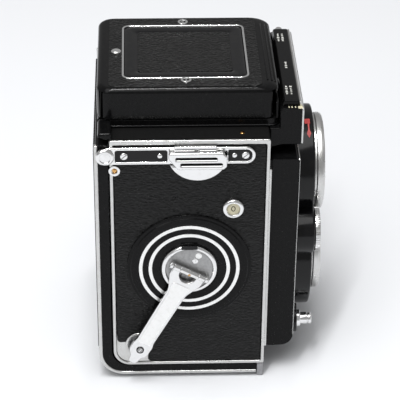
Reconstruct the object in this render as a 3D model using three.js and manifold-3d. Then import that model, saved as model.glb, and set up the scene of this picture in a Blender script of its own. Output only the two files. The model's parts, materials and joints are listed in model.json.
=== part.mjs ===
// Twin lens reflex camera: a box body with a waist-level finder hood, an extending lens standard,
// a winding crank on one side and a focusing knob on the other.
// Millimetres. +Z is up, the lenses look along -Y, the crank is on the -X side.
// The origin is under the middle of the camera, at the height of the soles of its feet.
import * as THREE from "three";
import { mergeVertices } from "three/addons/utils/BufferGeometryUtils.js";
import Module from "manifold-3d";

const wasm = await Module();
wasm.setup();

// ---- driving dimensions --------------------------------------------------------------------
const GAP = 0.3; // clearance between pieces that touch
const SIDE_X = 47.4; // outer face of the metal side borders
const CASTING_X = 45.5; // outer face of the casting's side walls
const CASTING_FRONT = -24.2;
const CASTING_REAR = 47.1;
const CASTING_BOTTOM = 7.6;
const CASTING_TOP = 129.6;
const CASTING_CORNER = 8; // rounding at the lower rear edge
const BORDER = 1.5; // width of the metal border round the side leather
const CHAMBER_X = 33.5; // half length of the film chambers

const LENS_Z = { viewing: 91, taking: 45 };
const COVER_RADIUS = { viewing: 27, taking: 29.5 };
const RING_RADIUS = { viewing: 22.8, taking: 22 };
const GLASS_RADIUS = { viewing: 16, taking: 14.6 };
const STANDARD_X = 42;
const STANDARD_Z = [14.1, 116.3];
const STANDARD_Y = [-38, -25.7];
const COVER_FRONT = -47;
const RING_FRONT = -52;

const CRANK_AXIS = { y: 11.3, z: 62.8 };
const CRANK_ANGLE = THREE.MathUtils.degToRad(-61.9); // direction of the folded arm from the +Y axis
const CRANK_HINGE_OFFSET = 0.3; // hinge line, measured from the crank axis along the arm
const CRANK_HINGE_X = -51.3;
const CRANK_BASE_X = -SIDE_X - GAP; // back of the crank's hub
const HINGE_OUT = CRANK_BASE_X - CRANK_HINGE_X; // hinge line, measured outwards from that back
const ARM_LENGTH = 48.3; // hinge line to handle axis
const ARM_THICKNESS = 2.4;
const ARM_TIP = 8.6; // finger tip, measured from the handle axis
const DISC_RADIUS = 28.4;
const RECESS = { y: 34.5, z: 19.3, radius: 6.2 };
const COUNTER = { y: -8.3, z: 94.4, radius: 4.8 };

const FOCUS_AXIS = { y: 6, z: 62 };
const FOCUS_RADIUS = 17;
const KNOB_END_X = 52.7;
const TAKE_UP = { y: 28, z: 88 };
const SUPPLY = { y: -0.5, z: 20 };
const SPOOL_RADIUS = 12.4;
const CHAMBER_RADIUS = 13;

const LID = { x: 36.2, front: -28.1, rear: 52, bottom: 133.8, top: 149.3 };
const LID_HINGE = { y: -27.3, z: 145 };
const FLAP = { x: 25.6, front: -14.9, rear: 40.1, thickness: 1.8 };
const HOOD_WALL = { hingeX: 33.6, z: 135, reach: 31.5, thickness: 0.8 };
const REAR_WALL = { hingeY: 49.4, z: 136.6, reach: 24 };
const MAGNIFIER = { y: 12.7, z: 139.1, length: 27, thickness: 1.8 };

const DOOR_X = 47.2;
const DOOR_INNER_Y = 47.4;
const DOOR_OUTER_Y = 53;
const DOOR_BOTTOM = 2.5;
const DOOR_FLOOR_TOP = 7.3;
const DOOR_FRONT = -20.8;
const DOOR_TOP = 127.4;
const DOOR_HINGE = { y: 50.4, z: 129.6, barrel: 1.6, pin: 0.9 };
const TRIPOD = { y: 14, radius: 3.3 };
const STRAP = { z: [118.3, 126.7], front: -17.6, rear: 51.6 };
const WHEEL = { x: 25, z: 68.4, radius: 10.2, stem: 2.6, seat: 11.5 };
const RELEASE = { x: -30, z: 21 };

// ---- materials -----------------------------------------------------------------------------
const material = (color, roughness, metalness, extra = {}) =>
  new THREE.MeshStandardMaterial({ color, roughness, metalness, ...extra });
const MATERIAL = {
  enamel: () => material(0x0b0b0c, 0.25, 0.1),
  leather: () => material(0x111112, 0.6, 0),
  aluminium: () => material(0xb9babc, 0.35, 0.9),
  chrome: () => material(0xd8d9dc, 0.12, 1),
  glass: () => material(0x8fa0b0, 0.03, 0, { transparent: true, opacity: 0.4 }),
  mirror: () => material(0xe6ebee, 0.03, 1),
  plastic: () => material(0x161617, 0.5, 0),
  dial: () => material(0xd9d0b4, 0.5, 0),
  grey: () => material(0x6f7072, 0.5, 0.3),
};

// ---- shape helpers -------------------------------------------------------------------------
const X_AXIS = new THREE.Vector3(1, 0, 0);
const Y_AXIS = new THREE.Vector3(0, 1, 0);
const Z_AXIS = new THREE.Vector3(0, 0, 1);
// a shape drawn as (y, z) and pulled along x; drawn as (x, z) and pulled towards the front
const ONTO_SIDE = new THREE.Matrix4().makeBasis(Y_AXIS, Z_AXIS, X_AXIS);
const ONTO_FRONT = new THREE.Matrix4().makeBasis(X_AXIS, Z_AXIS, Y_AXIS.clone().negate());
const SEGMENTS = 28;

function bare(geometry) {
  const copy = geometry.clone();
  copy.deleteAttribute("normal");
  copy.deleteAttribute("uv");
  return mergeVertices(copy, 1e-5);
}

function solid(geometry) {
  const merged = bare(geometry);
  return new wasm.Manifold(new wasm.Mesh({
    numProp: 3,
    vertProperties: new Float32Array(merged.attributes.position.array),
    triVerts: new Uint32Array(merged.index.array),
  }));
}

function fromSolid(manifold) {
  const mesh = manifold.getMesh();
  const geometry = new THREE.BufferGeometry();
  geometry.setAttribute("position", new THREE.BufferAttribute(new Float32Array(mesh.vertProperties), 3));
  geometry.setIndex(new THREE.BufferAttribute(new Uint32Array(mesh.triVerts), 1));
  geometry.computeVertexNormals();
  return geometry;
}

function cut(geometry, ...tools) {
  let result = solid(geometry);
  for (const tool of tools) result = result.subtract(solid(tool));
  return fromSolid(result);
}

function join(geometry, ...others) {
  let result = solid(geometry);
  for (const other of others) result = result.add(solid(other));
  return fromSolid(result);
}

function block([x0, x1], [y0, y1], [z0, z1]) {
  const geometry = new THREE.BoxGeometry(x1 - x0, y1 - y0, z1 - z0);
  return geometry.translate((x0 + x1) / 2, (y0 + y1) / 2, (z0 + z1) / 2);
}

// a polygon whose corners [u, v, radius] are rounded by their own radius
function outline(corners) {
  const shape = new THREE.Shape();
  const count = corners.length;
  for (let i = 0; i < count; i += 1) {
    const [u, v, radius = 0] = corners[i];
    const corner = new THREE.Vector2(u, v);
    const before = new THREE.Vector2(...corners[(i + count - 1) % count]).sub(corner).normalize();
    const after = new THREE.Vector2(...corners[(i + 1) % count]).sub(corner).normalize();
    const inside = Math.acos(before.dot(after));
    const setback = radius / Math.tan(inside / 2);
    const start = corner.clone().addScaledVector(before, setback);
    const end = corner.clone().addScaledVector(after, setback);
    if (i === 0) shape.moveTo(start.x, start.y);
    else shape.lineTo(start.x, start.y);
    if (radius > 0) {
      const handle = radius * 4 / 3 * Math.tan((Math.PI - inside) / 4);
      const first = start.clone().addScaledVector(before, -handle);
      const second = end.clone().addScaledVector(after, -handle);
      shape.bezierCurveTo(first.x, first.y, second.x, second.y, end.x, end.y);
    }
  }
  shape.closePath();
  return shape;
}

function rectangle([u0, u1], [v0, v1], radius = 0) {
  return outline([[u0, v0, radius], [u1, v0, radius], [u1, v1, radius], [u0, v1, radius]]);
}

function slab(shape, low, high, curveSegments = 6) {
  const options = { depth: high - low, bevelEnabled: false, curveSegments };
  return new THREE.ExtrudeGeometry(shape, options).translate(0, 0, low);
}

// a (y, z) outline filled from x = low to x = high
function sidePrism(shape, [low, high], curveSegments = 6) {
  return slab(shape, low, high, curveSegments).applyMatrix4(ONTO_SIDE);
}

// an (x, z) outline filled from y = rear towards the front
function frontPrism(shape, [front, rear], curveSegments = 6) {
  return slab(shape, -rear, -front, curveSegments).applyMatrix4(ONTO_FRONT);
}

// a profile of [radius, height] points turned about the axis named; it may run either way round
function turned(profile, axis, segments = SEGMENTS) {
  const points = profile.map(([r, h]) => new THREE.Vector2(r, h));
  if (THREE.ShapeUtils.area(points) < 0) points.reverse();
  const geometry = new THREE.LatheGeometry(points, segments);
  if (axis === "x") geometry.rotateZ(-Math.PI / 2);
  if (axis === "z") geometry.rotateX(Math.PI / 2);
  return geometry;
}

function rod(radius, [low, high], axis, segments = SEGMENTS) {
  return turned([[0, low], [radius, low], [radius, high], [0, high]], axis, segments);
}

function washer(inner, outer, [low, high], axis, segments = SEGMENTS) {
  return turned([[inner, low], [outer, low], [outer, high], [inner, high], [inner, low]], axis, segments);
}

// from low to high outwards on the +X side, or on the -X side
const sideSpan = (side, low, high) => (side < 0 ? [-high, -low] : [low, high]);
const moved = (geometry, x, y, z) => geometry.translate(x, y, z);
const crossRod = (radius, span, y, z, segments = 24) => moved(rod(radius, span, "x", segments), 0, y, z);

const camera = new THREE.Group();
function add(parent, name, geometry, finish, position = [0, 0, 0]) {
  const mesh = new THREE.Mesh(geometry, MATERIAL[finish]());
  mesh.name = name;
  mesh.position.set(...position);
  parent.add(mesh);
  return mesh;
}

// ---- body ----------------------------------------------------------------------------------
// the hollow behind one side leather, less a round boss at each [radius, place]
function lighteningPocket(side, bosses) {
  const pocket = block(sideSpan(side, 36, CASTING_X + 1), [-12, 40], [12, 118]);
  return cut(pocket, ...bosses.map(([radius, at]) =>
    crossRod(radius, sideSpan(side, 35, CASTING_X + 2), at.y, at.z)));
}

function bodyCasting() {
  const body = outline([
    [CASTING_FRONT, CASTING_BOTTOM, 1], [CASTING_REAR, CASTING_BOTTOM, CASTING_CORNER],
    [CASTING_REAR, CASTING_TOP, 1], [CASTING_FRONT, CASTING_TOP, 1],
  ]);
  const mirrorBox = outline([[-15, 76], [-8, 76], [40, 124], [40, 131], [-15, 131]]);
  const lightChamber = outline([[-15, 40], [42, 17.5], [42, 72.5], [-15, 58]]);
  const chamber = [-CHAMBER_X, CHAMBER_X];
  const cavities = [
    block([-40.9, 40.9], [CASTING_FRONT - 1, -14.2], [15, 115.8]),
    sidePrism(mirrorBox, [-31, 31]),
    sidePrism(lightChamber, [-29, 29]),
    block(chamber, [41.5, CASTING_REAR + 1], [12, 118]),
    block(chamber, [TAKE_UP.y, CASTING_REAR + 1], [TAKE_UP.z - CHAMBER_RADIUS, TAKE_UP.z + CHAMBER_RADIUS]),
    crossRod(CHAMBER_RADIUS, chamber, TAKE_UP.y, TAKE_UP.z),
    crossRod(CHAMBER_RADIUS, chamber, SUPPLY.y, SUPPLY.z),
    block(chamber, [SUPPLY.y - CHAMBER_RADIUS, SUPPLY.y + CHAMBER_RADIUS], [CASTING_BOTTOM - 1, SUPPLY.z]),
    block(chamber, [SUPPLY.y, CASTING_REAR - CASTING_CORNER], [CASTING_BOTTOM - 1, 13]),
    crossRod(RECESS.radius, [-CASTING_X - 1, -40], RECESS.y, RECESS.z),
    crossRod(4.4, [-CASTING_X - 1, -38], CRANK_AXIS.y, CRANK_AXIS.z),
    crossRod(3.2, [CHAMBER_X - 1, CASTING_X + 1], TAKE_UP.y, TAKE_UP.z),
    crossRod(3.2, [CHAMBER_X - 1, CASTING_X + 1], SUPPLY.y, SUPPLY.z),
    crossRod(5.3, [CASTING_X - 7, CASTING_X + 1], FOCUS_AXIS.y, FOCUS_AXIS.z),
  ];
  cavities.push(lighteningPocket(-1, [[8, RECESS], [8, CRANK_AXIS], [6, COUNTER]]));
  cavities.push(lighteningPocket(1, [[6, TAKE_UP], [6, SUPPLY], [8, FOCUS_AXIS]]));
  const shell = cut(sidePrism(body, [-CASTING_X, CASTING_X], 8), ...cavities);
  const spoolPins = [TAKE_UP, SUPPLY].map((spool) =>
    crossRod(2.8, [-CHAMBER_X - 0.5, -CHAMBER_X + 2.7], spool.y, spool.z));
  const ears = [-31, 31].map((x) => cut(
    join(
      crossRod(DOOR_HINGE.barrel, [x - 1.5, x + 1.5], DOOR_HINGE.y, DOOR_HINGE.z),
      block([x - 1.5, x + 1.5], [CASTING_REAR - 1, DOOR_HINGE.y], [128.3, 129.6]),
    ),
    crossRod(DOOR_HINGE.pin + GAP, [x - 3, x + 3], DOOR_HINGE.y, DOOR_HINGE.z),
  ));
  return join(shell, ...spoolPins, ...ears);
}

function mirrorPlate() {
  return sidePrism(outline([[-6, 78.6], [38, 122.6], [37, 123.6], [-7, 79.6]]), [-30, 30]);
}

function hoodBase() {
  const plate = block([-35.5, 35.5], [-28.3, 48.3], [CASTING_TOP + GAP, 133.5]);
  const frontWall = block([-34.4, 34.4], [-28.3, -27.1], [133, 141.3]);
  const opening = block([-30.5, 30.5], [-18, 42.5], [129, 134]);
  return cut(join(plate, frontWall), opening);
}

function meterHousing() {
  const profile = outline([
    [-24.5, 120], [-30, 121.5, 0.5], [-36, 121.5, 1], [-39.3, 124.5, 1], [-39.3, 139, 1],
    [-36.5, 142.8, 0.6], [-31, 142.8, 0.4], [-28.7, 138], [-28.7, 129.6], [-24.5, 129.6],
  ]);
  const cell = block([-33, 33], [-41, -38.2], [126, 137.5]);
  return cut(sidePrism(profile, [-38, 38]), cell);
}

const sideOutline = (inset) => outline([
  [CASTING_FRONT + inset, CASTING_BOTTOM + inset, 1],
  [CASTING_REAR - 0.4 - inset, CASTING_BOTTOM + inset, CASTING_CORNER],
  [CASTING_REAR - 0.4 - inset, CASTING_TOP - inset * 1.5, 1],
  [CASTING_FRONT + inset, CASTING_TOP - inset * 1.5, 1],
]);

function sideBorder(side) {
  return cut(
    sidePrism(sideOutline(0), sideSpan(side, CASTING_X + GAP, SIDE_X), 8),
    sidePrism(sideOutline(BORDER), sideSpan(side, CASTING_X, SIDE_X + 1), 8),
  );
}

function sideLeather(side) {
  const panel = sidePrism(sideOutline(BORDER + GAP), sideSpan(side, CASTING_X + GAP, SIDE_X - 0.3), 8);
  const through = sideSpan(side, CASTING_X, SIDE_X + 1);
  const holes = side < 0
    ? [[RECESS.radius, RECESS], [4.4, CRANK_AXIS], [COUNTER.radius - 0.6, COUNTER]]
    : [[3.2, TAKE_UP], [3.2, SUPPLY], [5.3, FOCUS_AXIS]];
  return cut(panel, ...holes.map(([radius, at]) => crossRod(radius, through, at.y, at.z)));
}

function strapPlate(side) {
  const plate = rectangle([STRAP.front, STRAP.rear], STRAP.z, 4);
  return sidePrism(plate, sideSpan(side, SIDE_X + 0.1, 48.7));
}

function strapLug(side) {
  const profile = outline([
    [-5, 125.5, 1], [-5, 117], [-1.5, 110.6, 3], [17.2, 110.6, 3], [20.7, 117], [20.7, 125.5, 1],
  ]);
  const lug = sidePrism(profile, sideSpan(side, 49, 51.8));
  const leg = sidePrism(rectangle([1, 14.7], [111.5, 117.8], 1), sideSpan(side, SIDE_X, 49.5));
  const slots = [[-1, 17, 121.8], [0, 16, 118.6]].map(([from, to, z]) =>
    sidePrism(rectangle([from, to], [z, z + 1.6], 0.7), sideSpan(side, 48.9, 53)));
  return cut(join(lug, leg), ...slots);
}

function buildBody() {
  add(camera, "body_casting", bodyCasting(), "enamel");
  add(camera, "viewing_mirror", mirrorPlate(), "mirror");
  add(camera, "focusing_screen", block([-30, 30], [-17.5, 42], [130.2, 131.8]), "glass");
  add(camera, "hood_base", hoodBase(), "enamel");
  add(camera, "meter_housing", meterHousing(), "enamel");
  add(camera, "meter_window", block([-32.7, 32.7], [-39.6, -38.5], [126.3, 137.2]), "glass");
  for (const [label, side] of [["crank_side", -1], ["knob_side", 1]]) {
    add(camera, `${label}_border`, sideBorder(side), "aluminium");
    add(camera, `${label}_leather`, sideLeather(side), "leather");
    add(camera, `${label}_strap_plate`, strapPlate(side), "aluminium");
    add(camera, `${label}_strap_lug`, strapLug(side), "chrome");
    const foot = block(sideSpan(side, 36, 47.2), [-24, -21.1], [0, CASTING_BOTTOM - GAP]);
    add(camera, `${label}_front_foot`, foot, "grey");
  }
  const disc = turned([[13.2, -0.9], [DISC_RADIUS - 1.2, -0.9], [DISC_RADIUS, 0], [13.2, 0], [13.2, -0.9]], "x");
  add(camera, "crank_disc", disc, "enamel", [-SIDE_X, CRANK_AXIS.y, CRANK_AXIS.z]);
  const bezel = turned([
    [3.5, -1], [COUNTER.radius, -0.2], [COUNTER.radius, 0.1], [3.5, 0.1], [3.5, -1],
  ], "x", 28);
  add(camera, "counter_bezel", bezel, "chrome", [-SIDE_X, COUNTER.y, COUNTER.z]);
  const pin = rod(DOOR_HINGE.pin, [-33, 33], "x", 16);
  add(camera, "door_hinge_pin", pin, "chrome", [0, DOOR_HINGE.y, DOOR_HINGE.z]);
}

// ---- front standard ------------------------------------------------------------------------
function standardShell() {
  const side = outline([
    [STANDARD_Y[0], STANDARD_Z[0], 6], [STANDARD_Y[1], STANDARD_Z[0]],
    [STANDARD_Y[1], STANDARD_Z[1]], [STANDARD_Y[0], STANDARD_Z[1], 1.5],
  ]);
  const skirt = block([-40.4, 40.4], [STANDARD_Y[1] - 1, -14.8], [15.6, 115.2]);
  const inside = block([-38.8, 38.8], [STANDARD_Y[0] + 2, -14], [18, 113.4]);
  const openings = ["viewing", "taking"].map((lens) =>
    moved(rod(14, [-40, -30], "y"), 0, 0, LENS_Z[lens]));
  return cut(join(sidePrism(side, [-STANDARD_X, STANDARD_X]), skirt), inside, ...openings);
}

function lensCover() {
  const discs = ["viewing", "taking"].map((lens) =>
    moved(rod(COVER_RADIUS[lens], [COVER_FRONT, STANDARD_Y[0] - GAP], "y", 36), 0, 0, LENS_Z[lens]));
  const seats = [-WHEEL.x, WHEEL.x].map((x) =>
    moved(rod(WHEEL.seat, [COVER_FRONT, STANDARD_Y[0] - GAP], "y"), x, 0, WHEEL.z));
  const bores = ["viewing", "taking"].map((lens) =>
    moved(rod(GLASS_RADIUS[lens] + GAP, [-50, -38], "y"), 0, 0, LENS_Z[lens]));
  for (const x of [-WHEEL.x, WHEEL.x]) {
    bores.push(moved(rod(WHEEL.stem + GAP, [-50, -38], "y", 20), x, 0, WHEEL.z));
  }
  return cut(join(...discs, ...seats), ...bores);
}

function bayonetRing(lens) {
  const outer = RING_RADIUS[lens];
  const inner = GLASS_RADIUS[lens] + 1;
  const rear = COVER_FRONT - GAP;
  const profile = [
    [inner, rear], [outer, rear], [outer, RING_FRONT + 0.6], [outer - 0.6, RING_FRONT],
    [outer - 2.4, RING_FRONT], [inner, rear - 1.4], [inner, rear],
  ];
  return turned(profile, "y");
}

function lensGlass(lens) {
  const radius = GLASS_RADIUS[lens];
  const dome = 2.2;
  const profile = [[0, -40], [radius, -40], [radius, -45.5]];
  for (const step of [0.7, 0.35]) {
    profile.push([radius * step, -45.5 - dome * (1 - step * step)]);
  }
  profile.push([0, -45.5 - dome]);
  return turned(profile, "y");
}

function shutterHousing() {
  return turned([[0, -35.6], [13.6, -35.6], [24, -34.6], [24, -24], [12, -24], [12, -15.2], [0, -15.2]], "y");
}

function settingWheel() {
  const wheel = rod(WHEEL.radius, [-50.2, -47.5], "y", 32);
  return join(wheel, rod(WHEEL.stem, [-48, STANDARD_Y[0] - GAP], "y", 20));
}

function releaseLock() {
  const ring = washer(5, 6.4, [-40.4, -38.4], "y", 28);
  return join(ring, block([-1.2, 1.2], [-40.4, -38.4], [5.6, 8.4]));
}

function selfTimerLever() {
  const base = rod(3.2, [-41, -38.4], "y", 24);
  return join(base, frontPrism(rectangle([-1.5, 1.5], [1, 12], 1.4), [-41, -39.6]));
}

function buildFrontStandard() {
  const standard = new THREE.Group();
  camera.add(standard);
  add(standard, "front_standard", standardShell(), "enamel");
  add(standard, "lens_cover", lensCover(), "enamel");
  for (const lens of ["viewing", "taking"]) {
    add(standard, `${lens}_lens_ring`, bayonetRing(lens), "chrome", [0, 0, LENS_Z[lens]]);
    add(standard, `${lens}_lens_glass`, lensGlass(lens), "glass", [0, 0, LENS_Z[lens]]);
  }
  add(standard, "shutter_housing", shutterHousing(), "plastic", [0, 0, LENS_Z.taking]);
  add(standard, "aperture_wheel", settingWheel(), "chrome", [-WHEEL.x, 0, WHEEL.z]);
  add(standard, "shutter_speed_wheel", settingWheel(), "chrome", [WHEEL.x, 0, WHEEL.z]);
  const collar = washer(3.15, 4.6, [-42.3, STANDARD_Y[0] - GAP], "y", 28);
  add(standard, "release_collar", collar, "chrome", [RELEASE.x, 0, RELEASE.z]);
  const button = rod(2.85, [-47.7, -41.9], "y", 28);
  add(standard, "release_button", button, "chrome", [RELEASE.x, 0, RELEASE.z]);
  add(standard, "release_lock", releaseLock(), "enamel", [RELEASE.x, 0, RELEASE.z]);
  add(standard, "self_timer_lever", selfTimerLever(), "chrome", [35, 0, 40]);
  const socket = washer(1.6, 3.4, [-43, STANDARD_Y[0] - GAP], "y", 24);
  add(standard, "sync_socket", socket, "chrome", [-RELEASE.x, 0, RELEASE.z]);
}

// ---- knob side and spools ------------------------------------------------------------------
function focusKnob() {
  const profile = [
    [0, 38.8], [5, 38.8], [5, 48], [FOCUS_RADIUS, 48], [FOCUS_RADIUS, KNOB_END_X - 1.2],
    [FOCUS_RADIUS - 1.2, KNOB_END_X], [11, KNOB_END_X], [10.5, KNOB_END_X - 0.8], [0, KNOB_END_X - 0.8],
  ];
  return turned(profile, "x", 36);
}

function spool() {
  const end = CHAMBER_X - 1;
  const profile = [
    [3.3, -end], [SPOOL_RADIUS, -end], [SPOOL_RADIUS, -end + 1.2], [6, -end + 1.2],
    [6, end - 1.2], [SPOOL_RADIUS, end - 1.2], [SPOOL_RADIUS, end], [3.3, end], [3.3, -end],
  ];
  return turned(profile, "x", 24);
}

function spoolKnob() {
  const profile = [[0, 30.8], [2.8, 30.8], [2.8, 47.8], [6.5, 47.8], [6.5, 51], [5.7, 51.8], [0, 51.8]];
  return turned(profile, "x", 24);
}

function buildKnobSide() {
  add(camera, "focus_knob", focusKnob(), "aluminium", [0, FOCUS_AXIS.y, FOCUS_AXIS.z]);
  const scale = washer(11.3, FOCUS_RADIUS - 1.6, [KNOB_END_X + GAP, KNOB_END_X + GAP + 0.6], "x");
  add(camera, "focus_scale_ring", scale, "plastic", [0, FOCUS_AXIS.y, FOCUS_AXIS.z]);
  for (const [label, at] of [["take_up", TAKE_UP], ["supply", SUPPLY]]) {
    add(camera, `${label}_spool`, spool(), "plastic", [0, at.y, at.z]);
    add(camera, `${label}_spool_knob`, spoolKnob(), "chrome", [0, at.y, at.z]);
  }
}

// ---- crank ---------------------------------------------------------------------------------
// The crank's own frame has +X out of the camera's crank side and +Y along the folded arm.
function crankHub() {
  const rim = turned([
    [0, -8], [4, -8], [4, 0], [12.8, 0], [12.8, 1.3], [12.2, 1.8], [11, 1.8], [11, 1.1], [0, 1.1],
  ], "x");
  const ears = [-8.9, 8.9].map((z) => cut(
    join(
      moved(rod(1.6, [z - 0.8, z + 0.8], "z", 20), HINGE_OUT, CRANK_HINGE_OFFSET, 0),
      block([1, HINGE_OUT], [CRANK_HINGE_OFFSET - 1.6, CRANK_HINGE_OFFSET + 1.6], [z - 0.8, z + 0.8]),
    ),
    moved(rod(0.9, [z - 2, z + 2], "z", 16), HINGE_OUT, CRANK_HINGE_OFFSET, 0),
  ));
  return join(rim, ...ears);
}

// The arm lies along +Y from its hinge line at the local origin, with its thickness along X.
function crankArm() {
  const half = ARM_THICKNESS / 2;
  const plan = outline([
    [0, -7.7, 0], [3, -7.7, 1.5], [15, -4.3, 6], [ARM_LENGTH + 2.4, -4.3, 2], [ARM_LENGTH + 5, -2.3, 1],
    [ARM_LENGTH + ARM_TIP, -2, 1.9], [ARM_LENGTH + ARM_TIP, 2, 1.9], [ARM_LENGTH + 5, 2.3, 1],
    [ARM_LENGTH + 2.4, 4.3, 2], [15, 4.3, 6], [3, 7.7, 1.5], [0, 7.7, 0],
  ]);
  const plate = sidePrism(plan, [-half, half]);
  const barrel = rod(half, [-7.7, 7.7], "z", 20);
  const notch = moved(rod(4.2, [-half - 1, half + 1], "x", 24), 0, 1.5, 0);
  const pinBore = rod(0.55 + GAP, [-9, 9], "z", 16);
  const pivotBore = moved(rod(1.5, [-half - 1, half + 1], "x", 16), 0, ARM_LENGTH, 0);
  return cut(join(plate, barrel), notch, pinBore, pivotBore);
}

function crankHandleKnob() {
  const inner = -ARM_THICKNESS / 2;
  const profile = [
    [0, inner - 2.2], [3.6, inner - 2.2], [4.2, inner - 1.6], [4.2, inner - 0.3], [1.2, inner - 0.3],
    [1.2, ARM_THICKNESS / 2 + 0.3], [2.6, ARM_THICKNESS / 2 + 0.3], [2.2, ARM_THICKNESS / 2 + 0.8],
    [0, ARM_THICKNESS / 2 + 0.8],
  ];
  return turned(profile, "x", 28);
}

function buildCrank() {
  const crank = new THREE.Group();
  crank.position.set(CRANK_BASE_X, CRANK_AXIS.y, CRANK_AXIS.z);
  const outward = X_AXIS.clone().negate();
  const alongArm = new THREE.Vector3(0, Math.cos(CRANK_ANGLE), Math.sin(CRANK_ANGLE));
  const across = outward.clone().cross(alongArm);
  crank.setRotationFromMatrix(new THREE.Matrix4().makeBasis(outward, alongArm, across));
  camera.add(crank);
  add(crank, "crank_hub", crankHub(), "chrome");
  const hinge = [HINGE_OUT, CRANK_HINGE_OFFSET, 0];
  add(crank, "crank_hinge_pin", rod(0.55, [-9.9, 9.9], "z", 16), "chrome", hinge);
  add(crank, "crank_arm", crankArm(), "chrome", hinge);
  const handle = [HINGE_OUT, CRANK_HINGE_OFFSET + ARM_LENGTH, 0];
  add(crank, "crank_handle_knob", crankHandleKnob(), "chrome", handle);
  const dial = rod(COUNTER.radius - 1, [-0.4, 0.5], "x", 24);
  add(camera, "counter_dial", dial, "dial", [-SIDE_X + 0.9, COUNTER.y, COUNTER.z]);
}

// ---- back door -----------------------------------------------------------------------------
function backDoor() {
  const outer = DOOR_OUTER_Y;
  const profile = outline([
    [outer, DOOR_TOP, 1], [DOOR_INNER_Y, DOOR_TOP], [DOOR_INNER_Y, DOOR_FLOOR_TOP, CASTING_CORNER],
    [DOOR_FRONT, DOOR_FLOOR_TOP], [DOOR_FRONT, DOOR_BOTTOM, 1], [outer, DOOR_BOTTOM, 11.5],
  ]);
  const hinge = { y: DOOR_HINGE.y, z: DOOR_HINGE.z };
  const barrel = crossRod(DOOR_HINGE.barrel, [-28.5, 28.5], hinge.y, hinge.z, 20);
  const neck = block([-28.5, 28.5], [hinge.y - 1.2, hinge.y + 0.6], [DOOR_TOP - 1, hinge.z]);
  const bore = crossRod(DOOR_HINGE.pin + GAP, [-30, 30], hinge.y, hinge.z, 20);
  const bush = moved(rod(TRIPOD.radius, [DOOR_BOTTOM - 1, DOOR_BOTTOM + 3.6], "z", 20), 0, TRIPOD.y, 0);
  return cut(join(sidePrism(profile, [-DOOR_X, DOOR_X], 8), barrel, neck), bore, bush);
}

function backLatch() {
  const plate = slab(rectangle([-12, 12], [0, 14], 3), -0.9, 0);
  return join(plate, rod(0.9, [-12, 12], "x", 16).translate(0, 0, -0.9));
}

function buildBackDoor() {
  const door = new THREE.Group();
  camera.add(door);
  add(door, "back_door", backDoor(), "enamel");
  const leather = block([-44.5, 44.5], [DOOR_OUTER_Y + GAP, DOOR_OUTER_Y + 0.9], [15, 124]);
  add(door, "back_leather", leather, "leather");
  add(door, "pressure_plate", block([-29, 29], [44.6, 45.8], [17, 73]), "enamel");
  for (const [label, x] of [["crank_side", -38], ["knob_side", 38]]) {
    add(door, `${label}_rear_foot`, rod(4, [0, DOOR_BOTTOM - GAP], "z", 24), "grey", [x, 38, 0]);
  }
  const seat = washer(TRIPOD.radius + 0.2, 11, [1, DOOR_BOTTOM - GAP], "z");
  add(door, "tripod_seat", seat, "chrome", [0, TRIPOD.y, 0]);
  add(door, "back_latch", backLatch(), "chrome", [0, -17.5, DOOR_BOTTOM - GAP]);
}

// ---- finder hood ---------------------------------------------------------------------------
function hoodLid() {
  const plan = [[-LID.x, LID.x], [LID.front, LID.rear]];
  const outer = slab(rectangle(...plan, 4), LID.bottom, LID.top);
  const wall = 1.2;
  const inner = block([-LID.x + wall, LID.x - wall], [LID.front - 5, LID.rear - wall], [130, LID.top - 2]);
  const flapOpening = block([-FLAP.x, FLAP.x], [FLAP.front, FLAP.rear], [140, 150]);
  return cut(outer, inner, flapOpening);
}

function finderFlap() {
  const edge = GAP;
  const length = FLAP.rear - FLAP.front - 2 * edge;
  return block([-FLAP.x + edge, FLAP.x - edge], [0, length], [0, FLAP.thickness]);
}

// Side wall in its folded place, reaching inwards from its hinge line. Its front edge follows the
// curve that the opening lid leaves free, and its rear edge is mitred so that it passes the rear wall.
function hoodSideWall(side) {
  const drop = LID_HINGE.z - HOOD_WALL.z - 0.6;
  const freeReach = (s) => (drop ** (2 / 3) + s ** (2 / 3)) ** 1.5 - 1;
  const front = LID_HINGE.y + 1.5;
  const shape = new THREE.Shape();
  shape.moveTo(0, front);
  for (let s = 1.5; freeReach(s) < HOOD_WALL.reach; s += 1.5) {
    shape.lineTo(freeReach(s), LID_HINGE.y + s);
  }
  const full = LID_HINGE.y + 15;
  shape.lineTo(HOOD_WALL.reach, full);
  shape.lineTo(HOOD_WALL.reach, REAR_WALL.hingeY - HOOD_WALL.reach - 1.5);
  shape.lineTo(0, REAR_WALL.hingeY - 1.5);
  shape.closePath();
  const half = HOOD_WALL.thickness / 2;
  const wall = slab(shape, -half, half);
  return side < 0 ? wall : fromSolid(solid(wall).scale([-1, 1, 1]));
}

function hoodRearWall() {
  const base = HOOD_WALL.hingeX - 1.5;
  const half = HOOD_WALL.thickness / 2;
  const plan = outline([
    [-base, 0], [base, 0], [base - REAR_WALL.reach, -REAR_WALL.reach, 1],
    [-base + REAR_WALL.reach, -REAR_WALL.reach, 1],
  ].reverse());
  return slab(plan, -half, half);
}

function magnifier() {
  const half = MAGNIFIER.thickness / 2;
  const frame = slab(rectangle([-15, 15], [-1.5, MAGNIFIER.length], 2), -half, half);
  const bar = block([-34.5, 34.5], [-1.5, 1.5], [-half, half]);
  return join(frame, bar);
}

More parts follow.
